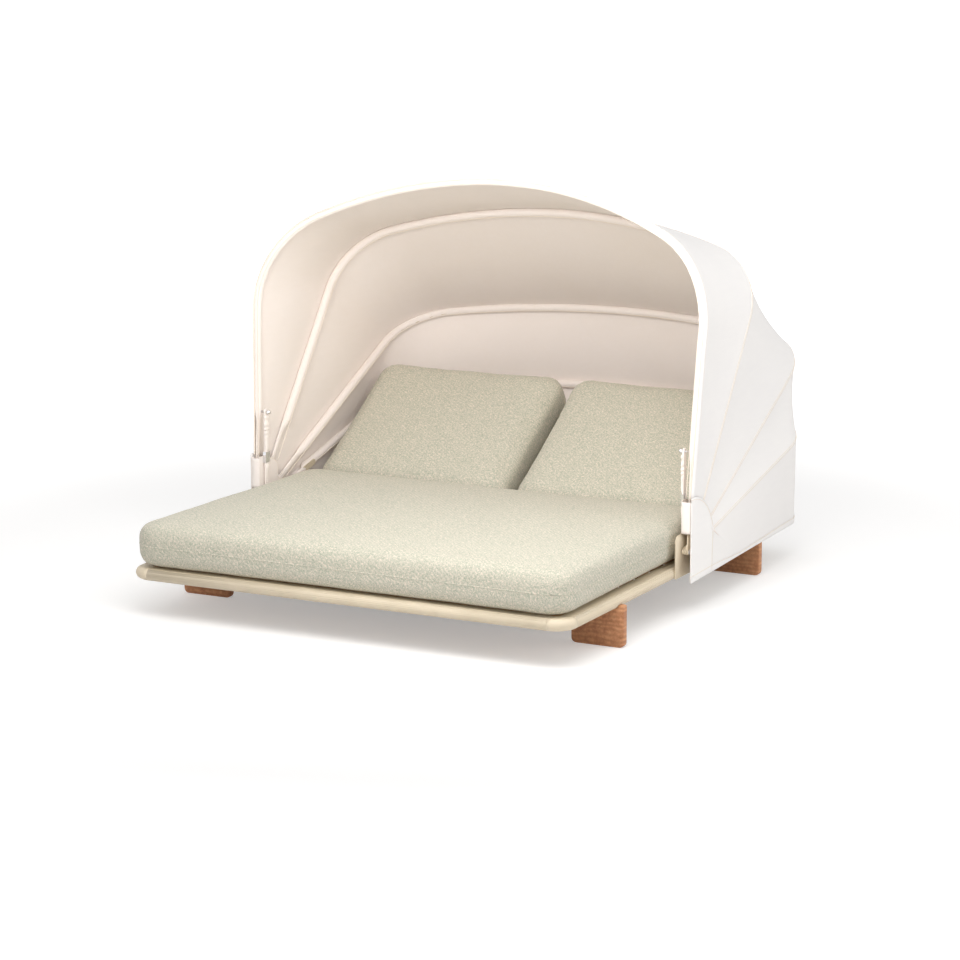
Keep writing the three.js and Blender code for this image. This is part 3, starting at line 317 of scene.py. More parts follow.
def canvas(name, body_colour, shade_colour):
    """Plain-woven awning cloth with a faint unevenness in its tone."""
    finish = Finish(name, Roughness=0.86, Sheen_Weight=0.08, Sheen_Roughness=0.5)
    broad = finish.grain(2.6, 3.0)
    slub = finish.grain(70, 3.0, vector=finish.stretched((1.0, 0.18, 1.0)))
    warp, weft = (finish.bands(75.0, axis, 0.3, vector=finish.coordinates["UV"]) for axis in "XY")
    tone = finish.sum(finish.scaled(broad, 0.0, 0.7), finish.scaled(slub, 0.0, 0.3))
    finish.feed("Base Color", finish.ramp(tone, (0.3, shade_colour), (0.7, body_colour)))
    threads = finish.sum(warp, weft, "MULTIPLY")
    creases = finish.grain(14, 3.0)
    height = finish.sum(finish.scaled(threads, 0.0, 0.25), finish.scaled(creases, 0.0, 1.0))
    finish.relief(height, 0.0016, 0.45)
    return finish.material


def powder_coat():
    """Cream powder coat with a fine orange-peel skin and lightly rubbed patches."""
    finish = Finish("cream_powder_coat", Roughness=0.45)
    tone = finish.ramp(finish.grain(9, 3.0), (0.3, srgb(213, 198, 172)), (0.7, srgb(221, 206, 181)))
    finish.feed("Base Color", tone)
    finish.feed("Roughness", finish.scaled(finish.grain(30, 3.0), 0.38, 0.55))
    finish.relief(finish.grain(900, 1.0), 0.0003, 0.5)
    return finish.material


def teak(name, dark, middle, light, gloss=0.55):
    """Oiled teak with its grain along the piece."""
    finish = Finish(name, Roughness=gloss)
    figure = finish.grain(6.5, 4.0, vector=finish.stretched((9.0, 0.75, 9.0)), roughness=0.6)
    rings = finish.bands(19.0, "Z", 6.5, vector=finish.stretched((0.5, 0.16, 1.0)), detail=3.0)
    pores = finish.grain(420, vector=finish.stretched((1.0, 0.05, 1.0)))
    body = finish.ramp(figure, (0.25, dark), (0.5, middle), (0.75, light))
    lined = finish.blend_colours(finish.scaled(rings, 0.0, 0.45), body, dark)
    pored = finish.blend_colours(finish.scaled(pores, 0.0, 0.30), lined, dark)
    finish.feed("Base Color", pored)
    finish.feed("Roughness", finish.scaled(figure, gloss - 0.08, gloss + 0.15))
    finish.relief(finish.sum(pores, finish.scaled(rings, 0.0, 0.5)), 0.0004, 0.6)
    return finish.material


def metal(name, tint, rough, stretch, lines):
    """Bare metal with a drawn grain and faint marks."""
    finish = Finish(name, Metallic=1.0, Roughness=rough)
    brushed = finish.grain(lines, vector=finish.stretched(stretch))
    smudges = finish.grain(22, 3.0)
    finish.feed("Base Color", finish.ramp(smudges, (0.3, tint), (0.7, srgb(236, 236, 236))))
    finish.feed("Roughness", finish.scaled(brushed, rough * 0.8, rough * 1.4))
    finish.relief(brushed, 0.00008, 0.4)
    return finish.material


WEAVE = cushion_weave()
OUTER = canvas("canopy_cloth_outer", srgb(252, 249, 246), srgb(247, 244, 242))
INNER = canvas("canopy_cloth_inner", srgb(251, 242, 236), srgb(248, 238, 230))
BINDING = canvas("seam_binding", srgb(247, 235, 222), srgb(242, 228, 213))
THREAD = canvas("seam_thread", srgb(243, 232, 218), srgb(236, 222, 204))
COAT = powder_coat()
TEAK = teak("oiled_teak", srgb(160, 104, 70), srgb(208, 149, 106), srgb(232, 179, 134))
SLATS = teak("slat_wood", srgb(168, 130, 92), srgb(196, 160, 120), srgb(212, 180, 142), 0.65)
STEEL = metal("drawn_steel", srgb(196, 196, 198), 0.34, (1.0, 0.06, 1.0), 320)
CHROME = metal("polished_metal", srgb(222, 222, 226), 0.10, (1.0, 1.0, 1.0), 60)

# The finish of each CAD node, by the first of these lists that its name begins with
NODE_FINISHES = (
    (("rail_", "corner_", "cross_beam_", "canopy_bow_", "pivot_plate_", "backrest_frame_"), COAT),
    (("foot_bracket_", "hinge_rod_", "prop_", "pivot_bolt_"), STEEL),
    (("foot_",), TEAK),
    (("seat_deck",), SLATS),
    (("stay_stud_", "stay_buckle_", "stay_snap_"), CHROME),
    (("stay_",), INNER),
)
# CAD nodes that are made again with rounder shading: the new name's end, finish, slot and sharpest angle
ROUNDED_NODES = (
    (("rail_", "corner_", "pivot_plate_"), "_coated", COAT, "powder_coat", 30.0),
    (("foot_front_", "foot_rear_"), "_oiled", TEAK, "timber", 30.0),
    (("stay_stud_", "stay_buckle_", "stay_snap_"), "_polished", CHROME, "chrome", 40.0),
)
# Piping, seams and stitching beside a bow: name, angle from outwards, distance, radius, finish and sides
FRONT_TRIM = (
    ("front_piping", FRONT_WRAP, CLOTH_RADIUS + 0.0012, 0.0026, BINDING, 10),
    ("front_sleeve_seam", math.radians(-122), SLEEVE_RADIUS + 0.0008, 0.0014, BINDING, 8),
    ("front_edge_stitching", math.radians(30), CLOTH_RADIUS + 0.0007, 0.0007, THREAD, 8),
)
RIDGE_TRIM = (
    ("seam_stitching_front_{}", -TAPE_STITCH_ANGLE, CLOTH_RADIUS + 0.0012, 0.0009, THREAD, 6),
    ("seam_stitching_rear_{}", TAPE_STITCH_ANGLE, CLOTH_RADIUS + 0.0012, 0.0009, THREAD, 6),
    ("sleeve_seam_{}", math.radians(158), SLEEVE_RADIUS + 0.0006, 0.0014, BINDING, 6),
)


# Mesh helpers


def smoothstep(value):
    share = min(max(value, 0.0), 1.0)
    return share * share * (3 - 2 * share)


def lerp(first, second, share):
    return first + (second - first) * share


def piece_from(bm, name, *materials, smooth=True, sharp_angle=None):
    """The bmesh as an object at the origin, with its materials."""
    data = bpy.data.meshes.new(name)
    bm.to_mesh(data)
    bm.free()
    for material in materials:
        data.materials.append(material)
    for polygon in data.polygons:
        polygon.use_smooth = smooth
    if sharp_angle is not None:
        data.set_sharp_from_angle(angle=math.radians(sharp_angle))
    made = bpy.data.objects.new(name, data)
    bpy.context.scene.collection.objects.link(made)
    return made


def put_on(obj, body="platform"):
    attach(obj, body)
    return obj


def give_wall(obj, thickness):
    """Gives a sheet its thickness, laid inwards."""
    wall = obj.modifiers.new("wall", "SOLIDIFY")
    wall.thickness = thickness
    wall.offset = -1.0
    return wall


def grid_mesh(rows, closed=False):
    """A bmesh grid laid over rows of points, with a UV map in metres. It may close on itself."""
    count_along = len(rows[0])
    count_across = len(rows)
    bm = bmesh.new()
    bmesh.ops.create_grid(bm, x_segments=count_along - 1, y_segments=count_across - 1, size=0.5)
    uv = bm.loops.layers.uv.new("cloth")
    flat = {}
    for vert in bm.verts:
        column = round((vert.co.x + 0.5) * (count_along - 1))
        row = round((vert.co.y + 0.5) * (count_across - 1))
        flat[vert] = (column, row)
    along = [0.0]
    middle = rows[count_across // 2]
    for first, second in zip(middle, middle[1:]):
        along.append(along[-1] + (second - first).length)
    across = [0.0]
    for first, second in zip(rows, rows[1:]):
        across.append(across[-1] + (second[count_along // 2] - first[count_along // 2]).length)
    for face in bm.faces:
        for loop in face.loops:
            column, row = flat[loop.vert]
            loop[uv].uv = (along[column], across[row])
    for vert in bm.verts:
        column, row = flat[vert]
        vert.co = rows[row][column]
    if closed:
        bmesh.ops.remove_doubles(bm, verts=bm.verts, dist=1e-6)
    return bm


def face_outwards(bm):
    """Turns an open sheet so that most of it faces away from the space under the hood."""
    bm.normal_update()
    inside = Vector((0.0, PIVOT_Y, PIVOT_Z))
    outward = sum(face.normal.dot(face.calc_center_median() - inside) * face.calc_area() for face in bm.faces)
    if outward < 0:
        bmesh.ops.reverse_faces(bm, faces=bm.faces)


def face_along(bm, direction):
    """Turns a nearly flat sheet so that it faces along a direction."""
    bm.normal_update()
    bm.faces.ensure_lookup_table()
    if bm.faces[0].normal.dot(direction) < 0:
        bmesh.ops.reverse_faces(bm, faces=bm.faces)


def ring_about(centre, first, second, sides, radii):
    """A ring of points in the plane of two directions. The two radii may change with the angle."""
    points = []
    for index in range(sides):
        angle = 2 * math.pi * index / sides
        wide, deep = radii(angle)
        points.append(centre + first * (wide * math.cos(angle)) + second * (deep * math.sin(angle)))
    return points


def tube_mesh(sections):
    """A tube through rings of points, closed at both ends, with its faces outwards."""
    rows = [list(ring) + [ring[0].copy()] for ring in sections]
    bm = grid_mesh(rows, closed=True)
    ends = [edge for edge in bm.edges if edge.is_boundary]
    bmesh.ops.holes_fill(bm, edges=ends, sides=0)
    bmesh.ops.recalc_face_normals(bm, faces=bm.faces)
    return bm


def cord_along(points, radius, sides=8, sideways=(0.3, 0.5, 0.8)):
    """A round cord along a line of points. Its first ring starts on the sideways direction."""
    sections = []
    last = len(points) - 1
    across = Vector(sideways)
    for index, point in enumerate(points):
        along = (points[min(index + 1, last)] - points[max(index - 1, 0)]).normalized()
        across = (across - along * across.dot(along)).normalized()
        sections.append(ring_about(point, across, along.cross(across), sides, lambda angle: (radius, radius)))
    return tube_mesh(sections)


def trim_cord(name, points, radius, material, body="platform", sides=6):
    """Piping, a seam or a line of stitching on the hood's cloth."""
    return put_on(piece_from(cord_along(points, radius, sides), name, material), body)


# Bow lines


class BowLine:
    """A bow's middle line from its right-hand foot to its left-hand one."""

    def __init__(self, bow, start):
        self.bow = bow
        lean = math.atan2(bow["splay"], SHOULDER_REACH)
        self.lean = lean
        self.along = Vector((math.sin(lean), math.cos(lean)))
        inward = Vector((-math.cos(lean), math.sin(lean)))
        self.foot = Vector((BOW_SIDE_X, 0.0))
        self.crown_centre = Vector((0.0, bow["reach"] - bow["crown"]))
        apart = bow["crown"] - bow["corner"]
        reach_in = self.foot + inward * bow["corner"] - self.crown_centre
        forward = reach_in.dot(self.along)
        leg_length = -forward + math.sqrt(forward ** 2 - reach_in.length_squared + apart ** 2)
        self.corner_centre = self.foot + inward * bow["corner"] + self.along * leg_length
        self.crown_end = math.atan2(self.corner_centre.y - self.crown_centre.y, self.corner_centre.x)
        self.start = start
        self.leg = leg_length - start
        self.corner = bow["corner"] * (self.crown_end + lean)
        self.crown = bow["crown"] * (math.pi / 2 - self.crown_end)
        self.half = self.leg + self.corner + self.crown
        turn = math.radians(bow["tilt"])
        self.up = Vector((0.0, math.sin(turn), math.cos(turn)))
        self.rear = Vector((0.0, math.cos(turn), -math.sin(turn)))

    def planar(self, length):
        """The point at a length from the foot, in the bow's own plane, and the outward direction there."""
        if length <= self.leg:
            point = self.foot + self.along * (self.start + length)
            return point, Vector((math.cos(self.lean), -math.sin(self.lean)))
        past = length - self.leg
        if past <= self.corner:
            radius = self.bow["corner"]
            centre = self.corner_centre
            angle = past / radius - self.lean
        else:
            radius = self.bow["crown"]
            centre = self.crown_centre
            angle = self.crown_end + (past - self.corner) / radius
        out = Vector((math.cos(angle), math.sin(angle)))
        return centre + out * radius, out

    def place(self, share):
        """The point at a share of the whole line, and the outward direction there."""
        mirrored = share > 0.5
        point, out = self.planar(2 * self.half * (1 - share if mirrored else share))
        side = -1 if mirrored else 1
        high = max(point.y - SHOULDER_REACH, 0.0) / (self.bow["reach"] - SHOULDER_REACH)
        place = Vector((side * point.x, PIVOT_Y, PIVOT_Z)) + self.up * point.y
        place += self.rear * (self.bow["sweep"] * high * high)
        outward = Vector((side * out.x, 0.0, 0.0)) + self.up * out.y
        return place, outward

    def frame(self, share):
        """The point, the outward and the rearward direction across the line there."""
        point, out = self.place(share)
        before = self.place(max(share - TANGENT_STEP, 0.0))[0]
        after = self.place(min(share + TANGENT_STEP, 1.0))[0]
        tangent = (after - before).normalized()
        out = (out - tangent * out.dot(tangent)).normalized()
        rear = tangent.cross(out)
        if rear.dot(self.rear) < 0:
            rear.negate()
        return point, out, rear

    def shares(self):
        """Where the columns of a panel lie, along the leg, the corner and half the crown of each side."""
        right = []
        for count, begin, length in (
            (LEG_COLUMNS, 0.0, self.leg),
            (CORNER_COLUMNS, self.leg, self.corner),
            (CROWN_COLUMNS, self.leg + self.corner, self.crown),
        ):
            right += [(begin + index / count * length) / (2 * self.half) for index in range(count)]
        return right + [0.5] + [1 - share for share in reversed(right)]


def frames_along(index):
    line = BowLine(BOWS[index], CLOTH_START)
    return [line.frame(share) for share in line.shares()]


def about_bow(place, angle, radius):
    """A point beside a bow, at an angle from outwards towards the rear."""
    point, out, rear = place
    return point + out * (radius * math.cos(angle)) + rear * (radius * math.sin(angle))


def line_beside_bow(index, angle, radius):
    line = BowLine(BOWS[index], CLOTH_START)
    return [about_bow(line.frame(step / BOW_STEPS), angle, radius) for step in range(BOW_STEPS + 1)]


def angle_about_pivot(point):
    return math.atan2(point.y - PIVOT_Y, point.z - PIVOT_Z)


# Hood panels


def hollow_depth(width, narrowest):
    """How far the cloth hangs in between two bows: nothing at the pivots, the full sag higher up."""
    return CLOTH_SAG * min(max((width - narrowest) / FULL_WIDTH, 0.0), 1.0)


def wrap_rows(place, from_angle, to_angle):
    """Points of a column round a bow, without the one at the angle where the cloth leaves it."""
    return [
        about_bow(place, lerp(from_angle, to_angle, step / WRAP_ROWS), CLOTH_RADIUS)
        for step in range(WRAP_ROWS)
    ]


def column_between(first, second, first_angle, narrowest):
    """One column of a panel: round the first bow, straight over to the second and round that one."""
    start, out_first, rear_first = first
    end, out_second, rear_second = second
    chord = (end - start).normalized()
    outward = out_first + out_second
    normal = (outward - chord * outward.dot(chord)).normalized()
    width = (end - start).length
    depth = hollow_depth(width, narrowest)
    slope = 4 * depth / max(width, LEAST_WIDTH)
    leaving = (normal + chord * slope).normalized()
    arriving = (normal - chord * slope).normalized()
    leave_angle = math.atan2(leaving.dot(rear_first), leaving.dot(out_first))
    arrive_angle = math.atan2(arriving.dot(rear_second), arriving.dot(out_second))
    points = wrap_rows(first, first_angle, leave_angle)
    leave = about_bow(first, leave_angle, CLOTH_RADIUS)
    arrive = about_bow(second, arrive_angle, CLOTH_RADIUS)
    for step in range(SPAN_ROWS + 1):
        share = step / SPAN_ROWS
        points.append(leave.lerp(arrive, share) - normal * (4 * depth * share * (1 - share)))
    return points + wrap_rows(second, 0.0, arrive_angle)[::-1]


def angular_shares(column, first_row, last_row):
    """How far round the pivot each point of a column lies between two of its rows."""
    low = angle_about_pivot(column[first_row])
    high = angle_about_pivot(column[last_row])
    shares = []
    for row, point in enumerate(column):
        if row <= first_row:
            shares.append(0.0)
        elif row >= last_row:
            shares.append(1.0)
        else:
            shares.append(min(max((angle_about_pivot(point) - low) / (high - low), 0.0), 1.0))
    return shares


def sheet_piece(name, columns):
    """A cloth panel: white outside, cream inside, with its thickness laid inwards."""
    bm = grid_mesh([list(row) for row in zip(*columns)])
    face_outwards(bm)
    made = piece_from(bm, name, OUTER, INNER)
    wall = give_wall(made, CLOTH_THICKNESS)
    wall.material_offset = 1
    wall.material_offset_rim = 1
    return made


def bow_panel(name, index, node):
    """The panel from one bow to the next."""
    first = frames_along(index)
    second = frames_along(index + 1)
    narrowest = (first[0][0] - second[0][0]).length
    first_angle = FRONT_WRAP if index == 0 else 0.0
    columns = [column_between(a, b, first_angle, narrowest) for a, b in zip(first, second)]
    made = sheet_piece(name, columns)
    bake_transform(made)
    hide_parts(node)
    return made


# The skirt, which is the back panel


def hem_place(share):
    """The hem line from the front of the side (0) round the rear corner (1 to 2) to the middle (3)."""
    if share <= 1:
        return Vector((
            lerp(SKIRT_FRONT_X, HEM_SIDE_X, share),
            lerp(HEM_FRONT_Y, HEM_SIDE_END_Y, share),
            lerp(HEM_FRONT_Z, HEM_REAR_Z, share),
        ))
    if share <= 2:
        angle = (share - 1) * math.pi / 2
        return Vector((
            HEM_SIDE_X - HEM_CORNER + HEM_CORNER * math.cos(angle),
            HEM_SIDE_END_Y + HEM_CORNER * math.sin(angle),
            HEM_REAR_Z,
        ))
    return Vector(((HEM_SIDE_X - HEM_CORNER) * (3 - share), HEM_REAR_Y, HEM_REAR_Z))


def fan_angle(share):
    """How far back the fan of bows leans at a share of the way from the first bow to the last."""
    place = share * (len(BOWS) - 1)
    index = min(int(place), len(BOWS) - 2)
    return math.radians(lerp(BOWS[index]["tilt"], BOWS[index + 1]["tilt"], place - index))


def fixed_column(index):
    """A column of the skirt under the pivot, from a round top edge to the hem."""
    share = index / SKIRT_COLUMNS
    angle = fan_angle(share)
    top = Vector((
        SKIRT_FRONT_X,
        HEM_FRONT_Y if index == 0 else PIVOT_Y + SKIRT_TOP_RADIUS * math.sin(angle),
        PIVOT_Z + SKIRT_TOP_RADIUS * math.cos(angle),
    ))
    foot = hem_place(share / 2)
    return [top.lerp(foot, row / (BACK_ROWS - 1)) for row in range(BACK_ROWS)]


def hem_share(index):
    """Where on the hem line a column that starts on the last bow ends."""
    if index <= LEG_COLUMNS:
        return 0.5 + 0.5 * index / LEG_COLUMNS
    if index <= LEG_COLUMNS + CORNER_COLUMNS:
        return 1 + (index - LEG_COLUMNS) / CORNER_COLUMNS
    return 2 + (index - LEG_COLUMNS - CORNER_COLUMNS) / CROWN_COLUMNS


def hanging_column(place, foot):
    """A column of the skirt from the last bow to the hem, with its shares of the bow's turn."""
    point, out, rear = place
    chord = (foot - point).normalized()
    normal = (out - chord * out.dot(chord)).normalized()
    leave_angle = math.atan2(normal.dot(rear), normal.dot(out))
    leave = about_bow(place, leave_angle, CLOTH_RADIUS)
    span = BACK_ROWS - WRAP_ROWS
    column = wrap_rows(place, 0.0, leave_angle)
    column += [leave.lerp(foot, step / (span - 1)) for step in range(span)]
    reach = math.hypot(point.y - PIVOT_Y, point.z - PIVOT_Z)
    held = smoothstep((reach - CLOTH_START) / SKIRT_FREE_REACH)
    return column, [held * (1 - share) for share in angular_shares(column, WRAP_ROWS, BACK_ROWS - 1)]


def back_columns():
    """Columns of the back panel from its upper edge to the hem, with their shares of the bow's turn."""
    frames = frames_along(len(BOWS) - 1)
    right = [(fixed_column(index), [0.0] * BACK_ROWS) for index in range(SKIRT_COLUMNS)]
    for index, place in enumerate(frames[:len(frames) // 2 + 1]):
        right.append(hanging_column(place, hem_place(hem_share(index))))
    mirrored = [
        ([Vector((-p.x, p.y, p.z)) for p in column], shares) for column, shares in reversed(right[:-1])
    ]
    whole = right + mirrored
    return [column for column, _ in whole], [shares for _, shares in whole]


def back_panel():
    columns, shares = back_columns()
    made = sheet_piece("hood_panel_back", columns)
    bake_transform(made)
    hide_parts("canopy_panel_back")
    return made, columns


# Sleeves, seam tapes, piping and seams on the bows


def sleeve_mesh(index):
    """The cloth sleeve round a bow, gathered a little inside its corners and flat round the tabs."""
    line = BowLine(BOWS[index], SLEEVE_STARTS[index])
    tab_x = TAB_STACK_X + ((len(BOWS) - 1) / 2 - index) * TAB_PITCH
    sections = []
    for step in range(BOW_STEPS + 1):
        share = step / BOW_STEPS
        side = 1 if share <= 0.5 else -1
        point, out, rear = line.frame(share)
        length = 2 * line.half * min(share, 1 - share)
        reach = length + line.start
        rounded = smoothstep((reach - TAB_END) / TAB_FADE)
        rising = smoothstep((reach - CLOTH_START) / TAB_SLEEVE_FADE)
        half_out = lerp(lerp(TAB_SLEEVE_LOW, TAB_SLEEVE_HIGH, rising), SLEEVE_RADIUS, rounded)
        half_rear = lerp(TAB_SLEEVE_REAR, SLEEVE_RADIUS, rounded)
        centre = Vector((lerp(side * tab_x, point.x, rounded), point.y, point.z))
        corner = (length - line.leg) / line.corner
        gather = smoothstep(corner * 3 + 0.6) * smoothstep((1 - corner) * 3 + 0.6)

        def radii(angle):
            inner = max(-math.cos(angle), 0.0)
            spot = Vector((step * CREASE_PITCH + index * 9.0, math.sin(angle) * 1.5, side * 3.0))
            crease = noise.noise(spot) * CREASE_HEIGHT * gather * (0.25 + inner)
            slack = noise.noise(Vector((step * SLACK_PITCH, angle, index * 5.0))) * SLACK_HEIGHT
            swell = max(crease + slack, DEEPEST_CREASE)
            return half_out + swell, half_rear + swell

        sections.append(ring_about(centre, out, rear, SLEEVE_SIDES, radii))
    return tube_mesh(sections)


def tape_mesh(index):
    """A felled seam over the ridge of a bow, a little proud of the cloth."""
    line = BowLine(BOWS[index], CLOTH_START)
    turns = [turn / TAPE_COLUMNS for turn in range(TAPE_COLUMNS + 1)]
    angles = [lerp(-TAPE_HALF_ANGLE, TAPE_HALF_ANGLE, turn) for turn in turns]
    rows = []
    for step in range(TAPE_STEPS + 1):
        place = line.frame(step / TAPE_STEPS)
        rows.append([about_bow(place, angle, CLOTH_RADIUS + TAPE_HEIGHT) for angle in angles])
    bm = grid_mesh(rows)
    face_outwards(bm)
    return bm


def dress_bow(index):
    """The sleeve, tape, seams and stitching of one bow."""
    body = BOW_BODIES[index]
    tag = str(index + 1)
    made = [put_on(piece_from(sleeve_mesh(index), "bow_sleeve_" + tag, INNER), body)]
    if index > 0:
        tape = piece_from(tape_mesh(index), "seam_tape_" + tag, OUTER)
        give_wall(tape, TAPE_THICKNESS)
        made.append(put_on(tape, body))
    for name, angle, distance, radius, material, sides in RIDGE_TRIM if index > 0 else FRONT_TRIM:
        points = line_beside_bow(index, angle, distance)
        made.append(trim_cord(name.format(tag), points, radius, material, body, sides))
    return made


# Hem, patches and pockets


def outward_at(columns, index):
    """The outward and the upward direction at the foot of a column of the back panel."""
    before = columns[max(index - 1, 0)][-1]
    after = columns[min(index + 1, len(columns) - 1)][-1]
    along = (after - before).normalized()
    up = (columns[index][-2] - columns[index][-1]).normalized()
    out = along.cross(up).normalized()
    return (out if out.dot(columns[index][-1] - SKIRT_MIDDLE) > 0 else -out), up


def hem_line(columns, depth, height):
    """A line along the hem, at a depth outwards and a share of the hem's height."""
    points = []
    for index, column in enumerate(columns):
        out, up = outward_at(columns, index)
        points.append(column[-1] + out * depth + up * (HEM_HEIGHT * height))
    return points


def hem_band(columns):
    """The doubled hem: up the outside, round the bottom edge and up the inside."""
    lines = [hem_line(columns, depth, height) for depth, height in HEM_SECTION]
    made = piece_from(grid_mesh([list(section) for section in zip(*lines)]), "hood_hem", OUTER)
    return put_on(made)


def over_skirt(tree, side, x, y, z):
    """How far out a patch lies: just over the skirt where it covers that, else at its own place."""
    if tree is None:
        return x
    hit = tree.ray_cast(Vector((side * OUTSIDE_X, y, z)), Vector((-side, 0.0, 0.0)))[0]
    return abs(hit.x) + PATCH_LIFT if hit is not None and abs(hit.x) > SKIRT_LEAST_X else x


def patch_sheet(name, side, form, foot, material, tree=None):
    """A round-topped sheet beside the pivot, and the line of its top and rear edge."""
    columns = []
    for index in range(PATCH_COLUMNS + 1):
        y = lerp(HEM_FRONT_Y, PIVOT_Y + form["rear"], index / PATCH_COLUMNS)
        run = min(max((y - PIVOT_Y) / form["radius"], -1.0), 1.0)
        top = PIVOT_Z + form["radius"] * math.sqrt(max(1 - run * run, 0.0))
        heights = [lerp(foot(y), top, step / PATCH_ROWS) for step in range(PATCH_ROWS + 1)]
        columns.append([Vector((side * over_skirt(tree, side, form["x"], y, z), y, z)) for z in heights])
    bm = grid_mesh([list(row) for row in zip(*columns)])
    face_along(bm, Vector((side, 0.0, 0.0)))
    made = piece_from(bm, name, material)
    give_wall(made, form["wall"])
    border = [column[-1] for column in columns] + columns[-1][-2::-1]
    return put_on(made), border


def patch_foot(y):
    return hem_place((y - HEM_FRONT_Y) / (HEM_SIDE_END_Y - HEM_FRONT_Y)).z + PATCH_FOOT


def stitch_line(border, side):
    """A patch's border drawn in towards its middle, where it is stitched down."""
    points = []
    for point in border:
        inward = (Vector((point.x, PIVOT_Y, PIVOT_Z - PATCH_MIDDLE_DROP)) - point).normalized()
        points.append(point + inward * PATCH_STITCH_INSET + Vector((side * PATCH_STITCH_LIFT, 0.0, 0.0)))
    return points


def pocket_front(word, side):
    """The cloth in front of the first bow's tab, from the lining to the skirt, a little rounded."""
    rows = []
    for step in range(POCKET_STEPS + 1):
        z = PIVOT_Z + lerp(POCKET_LOW, POCKET_HIGH, step / POCKET_STEPS)
        row = []
        for turn in range(POCKET_STEPS + 1):
            share = turn / POCKET_STEPS
            x = lerp(LINING["x"], POCKET_OUTER_X, share)
            row.append(Vector((side * x, HEM_FRONT_Y - POCKET_BULGE * math.sin(math.pi * share), z)))
        rows.append(row)
    bm = grid_mesh(rows)
    face_along(bm, Vector((0.0, -1.0, 0.0)))
    made = piece_from(bm, "pivot_pocket_" + word, INNER)
    give_wall(made, POCKET_WALL)
    return put_on(made)


def patches(back):
    """The patch, the lining and the front of the pocket at each pivot, with their stitching and rim."""
    made = []
    tree = BVHTree.FromObject(back, bpy.context.evaluated_depsgraph_get())
    for word, side in SIDES:
        patch, border = patch_sheet("pivot_patch_" + word, side, PATCH, patch_foot, OUTER, tree)
        stitch = trim_cord("patch_stitching_" + word, stitch_line(border, side), 0.0009, THREAD)
        lining, edge = patch_sheet(
            "pivot_lining_" + word, side, LINING, lambda y: PIVOT_Z + POCKET_LOW, INNER
        )
        rim = trim_cord("lining_edge_" + word, edge, 0.0016, BINDING, sides=8)
        made += [patch, stitch, lining, rim, pocket_front(word, side)]
    return made


# Stays


def middle_of(node):
    low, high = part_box(node)
    return (low + high) / 2


def stay_sleeve(word, side):
    """The cloth sleeve over a stay: puckered below the stud, smooth lower down."""
    x = middle_of("stay_" + word).x
    stud = middle_of("stay_stud_" + word)
    snap = middle_of("stay_snap_" + word)
    top = Vector((x, stud.y, stud.z))
    foot = Vector((x, snap.y, snap.z))
    along = (foot - top).normalized()
    out = Vector((float(side), 0.0, 0.0))
    across = along.cross(out).normalized()
    end = (foot - top).length - STAY_SLEEVE_SPARE
    sections = []
    for step in range(STAY_STEPS + 1):
        down = lerp(STAY_SLEEVE_BEGIN, end, step / STAY_STEPS)
        pucker = 1 - smoothstep((down - PUCKER_END) / PUCKER_FADE)
        held = math.exp(-(((down - BUCKLE_DOWN) / BUCKLE_SPREAD) ** 4))
        smooth = smoothstep((down - SMOOTH_DOWN) / SMOOTH_FADE)
        half_width = lerp(STAY_HALF_WIDTH, STAY_HELD_WIDTH, held) + PUCKER_WIDTH * pucker
        half_depth = lerp(STAY_HALF_DEPTH, STAY_HELD_DEPTH, max(held, smooth))
        drift = FOLD_DRIFT * math.sin(down * FOLD_DRIFT_PITCH)
        folds = math.sin(down * FOLD_PITCH + drift) * FOLD_HEIGHT * pucker
        centre = top + along * down + Vector((-side * (half_depth - STAY_OUTER_FACE), 0.0, 0.0))

        def radii(angle):
            spot = Vector((down * RIPPLE_PITCH, angle * 1.3, side * 2.0))
            ripple = noise.noise(spot) * RIPPLE_HEIGHT * pucker
            shape = folds * (0.4 + 0.6 * abs(math.sin(angle))) + ripple
            return half_depth + shape * 0.5, half_width + shape

        sections.append(ring_about(centre, out, across, STAY_SIDES, radii))
    made = piece_from(tube_mesh(sections), "stay_sleeve_" + word, INNER)
    return put_on(made, "stay_strap_" + word)


# CAD nodes made again with rounder shading, and cushions


def cad_copy(node):
    """A merged copy of a CAD node's mesh as a bmesh."""
    bm = bmesh.new()
    bm.from_mesh(NODES[node].data)
    bmesh.ops.remove_doubles(bm, verts=bm.verts, dist=1e-5)
    bmesh.ops.recalc_face_normals(bm, faces=bm.faces)
    for layer in list(bm.loops.layers.uv.values()):
        bm.loops.layers.uv.remove(layer)
    return bm


def rounded_node(node, ending, material, slot, angle):
    made = piece_from(cad_copy(node), node + ending, material, sharp_angle=angle)
    put_on(made, BODY_OF[node])
    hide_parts(node)


def apply_modifier(obj, name):
    bpy.context.view_layer.objects.active = obj
    with bpy.context.temp_override(object=obj, active_object=obj, selected_objects=[obj]):
        bpy.ops.object.modifier_apply(modifier=name)


def move_points(obj, places):
    obj.data.vertices.foreach_set("co", places)
    obj.data.update()


def draw_in(bm, amount):
    """Draws a closed form in along its normals."""
    bm.normal_update()
    normals = [vert.normal.copy() for vert in bm.verts]
    for vert, normal in zip(bm.verts, normals):
        vert.co -= normal * amount


